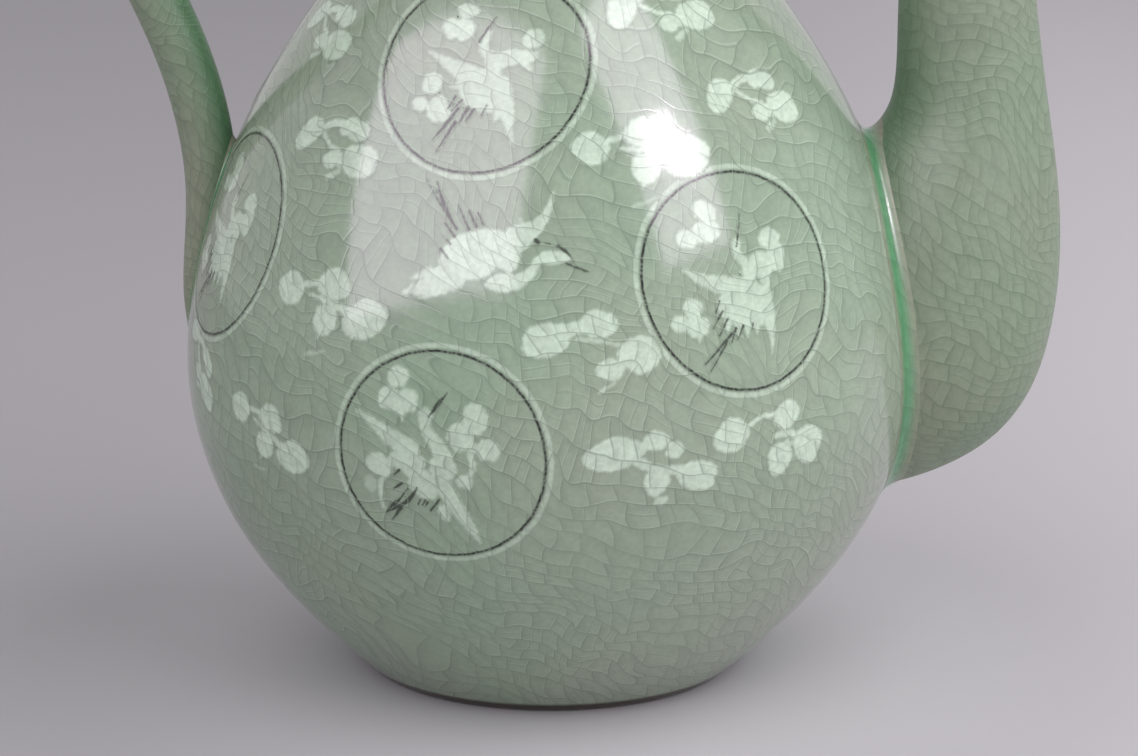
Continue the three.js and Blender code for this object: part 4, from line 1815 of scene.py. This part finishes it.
SOARING_CRANE = Motif(
    white=(
        *crane(
            (((-11.4, 3.7), (-6.5, 1.2), (-2.1, -1), (2.2, -2.8)), (0.2, 2.2, 4.2, 5.2)),
            (((3.7, -3.3), (5.8, -8), (7.1, -11.8), (7.9, -14.9)), (5, 3.6, 1.4, 0.2)),
            (((0.3, 8), (-0.3, 4.9), (1.5, 2.7), (2.3, -1)), (1.2, 2, 2.2, 3.4)),
            (((2, 2), (5.2, 2.9), (9.4, 3.3)), (3.2, 3.4, 1.8)),
            (((7.5, 2.6), (9.4, 0.4)), (2, 0.3)),
            (((-3.4, -3), (-5.6, -3.6)), (2, 0.3)),
            (((4.6, -7.8), (4, -10)), (2, 0.3)),
        ),
        Lobe(0.5, -4.6, 4.8, 3.2, -32, density=CRANE),
        Lobe(9, 7.1, 1.9, 2.2, density=0.75),
        Lobe(-4.6, 12.7, 2, 1.7),
        Lobe(-7.1, 8.7, 2.2, 2.2),
        Lobe(-4.7, 8.6, 2.1, 2.3),
        Lobe(-9.4, -3, 2, 2.2),
        Lobe(-11.3, -7.4, 1.7, 1.4),
        Lobe(-7.5, -8.2, 2.3, 2.5, -30, 0.2),
    ),
    black=brush(
        (((1.2, 11.6), (-0.1, 8.9), (-1.3, 6.1)), (0.2, 0.5, 0.6)),
        (((-4.2, -5.4), (-5.4, -8)), (0.5, 0.3)),
        (((-2.9, -6.2), (-4.6, -8.3)), (0.5, 0.3)),
        (((-3.4, -7.9), (-5.4, -11.2), (-7.6, -14.3)), (0.6, 0.8, 0.3)),
        (((-3.6, -10.7), (-6.6, -16.7)), (0.8, 0.3)),
        (((-1.5, -7.7), (-2.8, -10.7)), (0.8, 0.4)),
        (((-0.3, -8), (-1.6, -10.4)), (0.7, 0.3)),
        (((2, -7.1), (1.3, -9.2)), (0.4, 0.3)),
    ),
)
FREE_CRANE = Motif(
    white=(
        *crane(
            (((7.2, 3.7), (11.1, 6.5), (12.9, 10.3), (13.3, 12.7)), (5.2, 2.8, 1.3, 0.2)),
            (((-4.6, -3.7), (-8.3, -5.4), (-14.3, -7.3)), (5.2, 3.4, 0.3)),
            (((7.6, -4.4), (10.2, -2.5), (11.3, -0.6), (12.8, 0.6)), (2.8, 2, 1.6, 1.8)),
            (((-9, -3.2), (-12.6, -4.6)), (2.0, 0.3)),
            (((-6, -6.2), (-10.8, -8.2)), (1.8, 0.3)),
            (((8.6, 5.6), (7.6, 7.4)), (1.4, 0.3)),
            density=0.9,
        ),
        Lobe(-0.4, 0.7, 6.8, 4.5, 16, density=0.95),
        Lobe(5.5, 1.0, 2.5, 3.6, density=0.9),
        Lobe(-5.4, -4, 3.6, 2.6),
        Lobe(5.4, -4.6, 3.4, 1.8, density=0.9),
        Lobe(14.3, 0.2, 2.4, 1.3, point=0.3, density=0.9),
    ),
    black=brush(
        (((-11.1, 14.4), (-7.6, 9.4), (-4.3, 5.2)), (0.15, 0.5, 0.6)),
        (((-8.9, 14), (-7.2, 9.8), (-5.4, 6.7)), (0.2, 0.8, 0.6)),
        (((-4.3, 9.6), (-1.9, 5.2)), (0.2, 0.6)),
        (((-2.2, 8.7), (-0.6, 5.8)), (0.3, 0.6)),
        (((-0.4, 8.3), (0.7, 6.2)), (0.5, 0.4)),
        (((-6.7, 6.2), (-4.6, 3.8)), (0.3, 0.6)),
        (((-6.7, 3.7), (-5.4, 2.3)), (0.2, 0.5)),
        (((-7.2, 1.3), (-5.6, -0.4)), (0.6, 0.3)),
        (((10.7, 3.5), (11.3, 2.9)), (0.8, 0.6)),
        (((11.3, 3.3), (14.8, 2.4)), (0.2, 0.2)),
        (((14.8, 2.4), (16.5, 1.3), (18, -0.4)), (0.5, 0.6, 0.2)),
        (((16.5, -0.8), (18.7, -1.7), (20.9, -2.5)), (0.3, 0.5, 0.3)),
    ),
)
LONG_CLOUD = Motif(
    white=(
        Lobe(-7.8, 1.7, 5.4, 3.3, 186, 0.12),
        Lobe(0, 3.9, 2.4, 1.9),
        Lobe(3.7, 1.9, 1.8, 1.6),
        Lobe(0.4, -4.1, 2.7, 2.4, 260, 0.2),
        Lobe(8.7, -3.6, 3.9, 3.1, 165, 0.12),
        Lobe(1.4, -8.2, 1.4, 0.9, 20, density=0.6),
        Stroke(((-4.2, 2.5), (-1.5, 3.3)), (2.4, 1.8)),
        Stroke(((-3.8, 0.4), (-0.6, -1.4), (4.8, -2.1)), (2.2, 1.4, 2)),
        Stroke(((0.2, -1.4), (0.6, -2.6)), (1.4, 1.4)),
    ),
)
ARCHED_CLOUD = Motif(
    white=(
        Lobe(-9.1, 1.4, 4.3, 3.2, 200, 0.12),
        Lobe(0.9, 3.6, 3.4, 2.7),
        Lobe(8.2, -2.8, 3.9, 3.6),
        Lobe(2.4, -5, 2.6, 2.1),
        Stroke(((-6.4, 2.5), (-3.2, 3.2), (-0.6, 3.5)), (3.4, 2.4, 2.6)),
        Stroke(((-3.2, 1.2), (0.6, 0.5), (4.8, -0.7)), (0.7, 0.8, 0.8), 0.6),
        Stroke(((0.2, -8.9), (3, -7.6)), (0.9, 0.3), 0.55),
    ),
)
BOWED_CLOUD = Motif(
    white=(
        Lobe(-9.7, 1.5, 3.9, 3.2),
        Lobe(2.9, 4, 3, 2.8),
        Lobe(8.7, -2.5, 3.7, 3.7, 280, 0.1),
        Lobe(1.7, -4.4, 3.1, 2.9, 255, 0.15),
        Stroke(((-6.2, 2.8), (-3, 4.4), (0.4, 4.3)), (0.9, 0.7, 1)),
        Stroke(((0.4, 0.2), (3.2, 0.3), (6, -0.7)), (1.1, 1.3, 1.8)),
        Stroke(((3.2, -1.4), (5.4, -2.2)), (1, 1.4), 0.7),
    ),
)
ROUND_CLOUD = Motif(
    white=(
        Lobe(-9.7, 2, 3.6, 3.1),
        Lobe(1, 2.9, 3.5, 3.1, -30, 0.1),
        Lobe(8.4, -3.8, 4.7, 3.8, 15),
        Lobe(-0.6, -3.8, 3, 2.7, 235, 0.1),
        Stroke(((-6.6, 2.7), (-4.2, 3), (-2, 3.2)), (1.4, 1, 1.2)),
        Stroke(((-4.4, 0.9), (0.5, -0.6), (4.8, -2.3)), (0.6, 1.1, 1.8)),
        Stroke(((-1.8, -6), (-2.4, -7.6)), (1.2, 0.2), 0.7),
        Stroke(((-5, -10.4), (-0.4, -9.8)), (0.8, 0.3), 0.45),
    ),
)
LEAFY_CLOUD = Motif(
    white=(
        Lobe(-8.2, 1.8, 3.9, 2.6, 232, 0.2),
        Lobe(2.2, 4.0, 2.4, 1.9, 20),
        Lobe(4.6, 3.4, 2.6, 2.1, -20),
        Lobe(6.9, -2.4, 4.3, 3.4, -15),
        Lobe(0.0, -2.8, 2.1, 1.7),
        Lobe(2.6, -2.6, 2.4, 1.4),
        Stroke(((-4.4, 3.2), (-1.6, 4.4), (1.0, 4.2)), (1.5, 1.5, 1.8)),
        Stroke(((-3.9, 2.0), (-1.8, 0.2), (1.4, -0.9)), (0.9, 0.8, 0.9)),
        Stroke(((0.6, -6.2), (2.8, -5.0)), (1.3, 0.9), 0.6),
    ),
)


@dataclass
class Medallions:
    """The double rings, cranes and clouds inlaid in the pot's wall.

    Rings below low_limit hold the rising crane, above high_limit the soaring one, and between them
    the gliding one.
    The free crane and the clouds lie on the front and again on the back, the lone clouds once. An
    upper cloud has its motif, its azimuth past each quarter, its height over the upper rings'
    centres and its scale.
    """

    black_ring: Ring = Ring(20.4, 0.66, strength=0.90, unevenness=0.14, black=True)
    white_ring: Ring = Ring(21.45, 1.2, strength=0.47, unevenness=0.05)
    small: float = 0.54
    upper_height: float = 227.5
    upper_clouds: tuple[tuple[Motif, float, float, float], ...] = (
        (LONG_CLOUD, 0.0, 3.0, 0.62),
        (ROUND_CLOUD, 18.0, -11.0, 0.5),
    )
    free_crane: Placing = Placing(-11.5, 98.5)
    white_lift: float = 0.03
    black_lift: float = 0.06
    big_rings: tuple[Placing, ...] = (
        Placing(-16.4, 61.1),
        Placing(30.9, 92.9, scale=1.015),
        Placing(-14.4, 131.0),
        Placing(-67.0, 95.8),
        Placing(163.6, 61.1),
        Placing(-149.1, 92.9),
        Placing(165.6, 131.0),
        Placing(125.5, 93.4),
        Placing(-110.0, 62.0),
        Placing(-104.4, 131.0),
    )
    low_limit: float = 80.0
    high_limit: float = 120.0
    clouds: tuple[tuple[Motif, Placing], ...] = (
        (ARCHED_CLOUD, Placing(6.5, 83.2, 4)),
        (LONG_CLOUD, Placing(15.2, 60.8)),
        (BOWED_CLOUD, Placing(34.5, 62.8)),
        (LEAFY_CLOUD, Placing(43.5, 124.3)),
        (LEAFY_CLOUD, Placing(28.0, 141.0, 8)),
        (ROUND_CLOUD, Placing(16.5, 117.5, 10)),
        (ROUND_CLOUD, Placing(-47.2, 61.6, -8, 0.9)),
        (LEAFY_CLOUD, Placing(-62.0, 135.5, -4)),
    )
    lone_clouds: tuple[tuple[Motif, Placing], ...] = (
        (LEAFY_CLOUD, Placing(-42.0, 116.0)),
        (ROUND_CLOUD, Placing(-36.0, 88.6, 6)),
        (LEAFY_CLOUD, Placing(-69.0, 69.5, -35, 0.9)),
        (LEAFY_CLOUD, Placing(134.8, 121.6, 0, 0.9)),
        (ROUND_CLOUD, Placing(145.6, 80.3, -12, 0.5)),
    )

    def build(self) -> None:
        """Draws every motif on both bulbs."""
        birds = Inlay("white_crane_inlay", 0.34, self.white_lift)
        clouds = Inlay("white_cloud_inlay", 0.33, self.white_lift)
        strokes = Inlay("black_stroke_inlay", 0.17, self.black_lift)
        white_rings = Inlay("white_ring_inlay", 0.33, self.white_lift)
        black_rings = Inlay("black_ring_inlay", 0.25, self.black_lift)
        quarters = range(0, 360, 90)
        small_rings = [Placing(turn + 45.0, self.upper_height, scale=self.small) for turn in quarters]
        for place in (*self.big_rings, *small_rings):
            white_rings.add_ring(place, self.white_ring)
            black_rings.add_ring(place, self.black_ring)
            motif = SOARING_CRANE if place.height > self.high_limit else GLIDING_CRANE
            motif = RISING_CRANE if place.height < self.low_limit else motif
            birds.add_motif(motif, place)
            strokes.add_motif(motif, place, in_black=True)
        for turn in (0.0, 180.0):
            place = replace(self.free_crane, azimuth=self.free_crane.azimuth + turn)
            birds.add_motif(FREE_CRANE, place)
            strokes.add_motif(FREE_CRANE, place, in_black=True)
            for motif, place in self.clouds:
                clouds.add_motif(motif, replace(place, azimuth=place.azimuth + turn))
        for motif, place in self.lone_clouds:
            clouds.add_motif(motif, place)
        for turn in quarters:
            for motif, aside, rise, scale in self.upper_clouds:
                clouds.add_motif(motif, Placing(turn + aside, self.upper_height + rise, scale=scale))
        for inlay in (birds, clouds, strokes, white_rings, black_rings):
            inlay.build()


@dataclass(frozen=True)
class Lamp:
    """A rectangular soft lamp that faces the pot.

    It shows in the gloss alone, as a distant window does, or else it lights all but the gloss.
    azimuth is its direction in degrees, 0 at the camera's side and positive to the right,
    elevation its height in degrees and roll its turn in its own plane. Sizes are in metres.
    """

    name: str
    azimuth: float
    elevation: float
    size: Point
    watts: float
    distance: float = 1.3
    roll: float = 0.0
    gloss: bool = True
    target: tuple[float, float, float] = (0.0, 0.0, 0.1)
    gloss_colour: tuple[float, float, float] = (1.0, 0.84, 1.0)
    light_colour: tuple[float, float, float] = (1.0, 0.98, 1.0)

    def build(self) -> None:
        """Makes the lamp."""
        data = bpy.data.lights.new(self.name, "AREA")
        data.shape = "RECTANGLE"
        data.size, data.size_y = self.size
        data.energy = self.watts
        data.color = self.gloss_colour if self.gloss else self.light_colour
        lamp = bpy.data.objects.new(self.name, data)
        az, el = math.radians(self.azimuth), math.radians(self.elevation)
        direction = Vector((math.sin(az) * math.cos(el), -math.cos(az) * math.cos(el), math.sin(el)))
        lamp.location = Vector(self.target) + self.distance * direction
        facing = (-direction).to_track_quat("-Z", "Y")
        turn = Quaternion((0.0, 0.0, 1.0), math.radians(self.roll))
        lamp.rotation_euler = (facing @ turn).to_euler()
        lamp.visible_diffuse = not self.gloss
        lamp.visible_glossy = self.gloss
        bpy.context.scene.collection.objects.link(lamp)


@dataclass
class Studio:
    """The floor, the lamps and the camera.

    The camera's numbers are fitted to the photograph. The floor's fades run along X and away from
    the pot, in metres: the first is painted shade, darker on the left, the second painted light,
    paler near the pot.
    """

    image_width: int = 1138
    image_height: int = 756
    axis_pixel_x: float = 550.9
    focal_pixels: float = 3376.0
    distance: float = 700.0
    elevation: float = 13.11
    aim_height: float = 59.92
    sensor: float = 36.0
    floor_radius: float = 4000.0
    floor_shade_fade: Point = (-0.15, 0.27)
    floor_left_shaded: Colour = (0.378, 0.367, 0.385, 1.0)
    floor_right_lit: Colour = (0.52, 0.505, 0.53, 1.0)
    near_light_fade: Point = (0.118, 0.06)
    near_painted_light: Colour = (1.18, 1.18, 1.18, 1.0)
    sky: Colour = (0.47, 0.455, 0.48, 1.0)
    even_light: Colour = (1.0, 0.98, 1.0, 1.0)
    even_strength: float = 0.655
    lamps: tuple[Lamp, ...] = (
        Lamp("left_light", -40.0, 34.0, (2.2, 1.4), 6.0, gloss=False),
        Lamp("right_light", 70.0, 43.0, (1.7, 0.95), 10.0, 1.15, gloss=False),
        Lamp("low_light", 38.0, 4.0, (1.9, 0.2), 4.6, 1.2, gloss=False),
        Lamp("left_pane", -46.0, 38.5, (1.4, 1.15), 19.0, roll=16.0),
        Lamp("right_pane", 50.0, 44.0, (0.52, 0.98), 7.2, 1.15),
        Lamp("right_core", 51.0, 38.5, (0.3, 0.13), 2.3, 1.1, roll=-20.0),
        Lamp("right_spot", 49.5, 43.0, (0.17, 0.07), 0.9, 1.09),
    )

    def add_camera(self) -> None:
        """Stands the camera where the photograph was taken from."""
        data = bpy.data.cameras.new("camera")
        data.sensor_width = self.sensor
        data.lens = self.focal_pixels * self.sensor / self.image_width
        data.shift_x = (self.image_width / 2 - self.axis_pixel_x) / self.image_width
        data.clip_start = 0.01
        camera = bpy.data.objects.new("camera", data)
        tilt = math.radians(self.elevation)
        reach = self.distance * MM
        camera.location = (
            0.0,
            -reach * math.cos(tilt),
            self.aim_height * MM + reach * math.sin(tilt),
        )
        camera.rotation_euler = (math.radians(90) - tilt, 0.0, 0.0)
        bpy.context.scene.collection.objects.link(camera)
        bpy.context.scene.camera = camera

    def add_floor(self) -> None:
        """Lays a wide pale floor, with painted shade on the left and painted light near the pot."""
        mesh_maker = bmesh.new()
        bmesh.ops.create_circle(mesh_maker, cap_ends=True, segments=96, radius=self.floor_radius)
        floor = finish_piece("floor", mesh_maker)
        material = bpy.data.materials.new("floor_paint")
        material.use_nodes = True
        shader = material.node_tree.nodes["Principled BSDF"]
        hand = Nodes(material.node_tree)
        place = hand.place()
        # Painted shade: the floor is darker towards the left.
        right = hand.fade(hand.split(place)["X"], *self.floor_shade_fade)
        paint = hand.mix(right, self.floor_left_shaded, self.floor_right_lit)
        # Painted light: the floor is paler near the pot, where the pot's shadow falls.
        near = hand.fade(hand.vector("LENGTH", place), *self.near_light_fade)
        paint = hand.mix(near, paint, self.near_painted_light, "MULTIPLY")
        hand.link(paint, shader.inputs["Base Color"])
        shader.inputs["Roughness"].default_value = 0.9
        shader.inputs["Specular IOR Level"].default_value = 0.0
        floor.data.materials.append(material)

    def add_world(self) -> None:
        """Sets the even light all round and the pale sky that the camera sees over the floor."""
        world = bpy.data.worlds.new("studio")
        world.use_nodes = True
        bpy.context.scene.world = world
        hand = Nodes(world.node_tree)
        world.node_tree.nodes.clear()
        seen = hand.add("ShaderNodeBackground", in_0=self.sky, in_1=1.0)
        light = hand.add("ShaderNodeBackground", in_0=self.even_light, in_1=self.even_strength)
        path = hand.add("ShaderNodeLightPath")
        both = hand.add("ShaderNodeMixShader")
        hand.link(path.outputs["Is Camera Ray"], both.inputs[0])
        hand.link(light.outputs[0], both.inputs[1])
        hand.link(seen.outputs[0], both.inputs[2])
        output = hand.add("ShaderNodeOutputWorld")
        hand.link(both.outputs[0], output.inputs["Surface"])

    def build(self) -> None:
        """Sets up the whole studio."""
        bpy.context.scene.view_settings.view_transform = "Standard"
        self.add_camera()
        self.add_floor()
        self.add_world()
        for lamp in self.lamps:
            lamp.build()


def main() -> None:
    """Builds the studio and every piece in order."""
    logging.basicConfig(level=logging.INFO, format="%(name)s: %(message)s")
    Studio().build()
    Bulbs().build()
    Spout().build()
    Handle().build()
    TieLoop("handle_loop_glazed", "handle_loop", "pot").build()
    Lid().build()
    TieLoop("lid_loop_glazed", "lid_loop", "lid").build()
    Medallions().build()


if __name__ == "__main__":
    main()
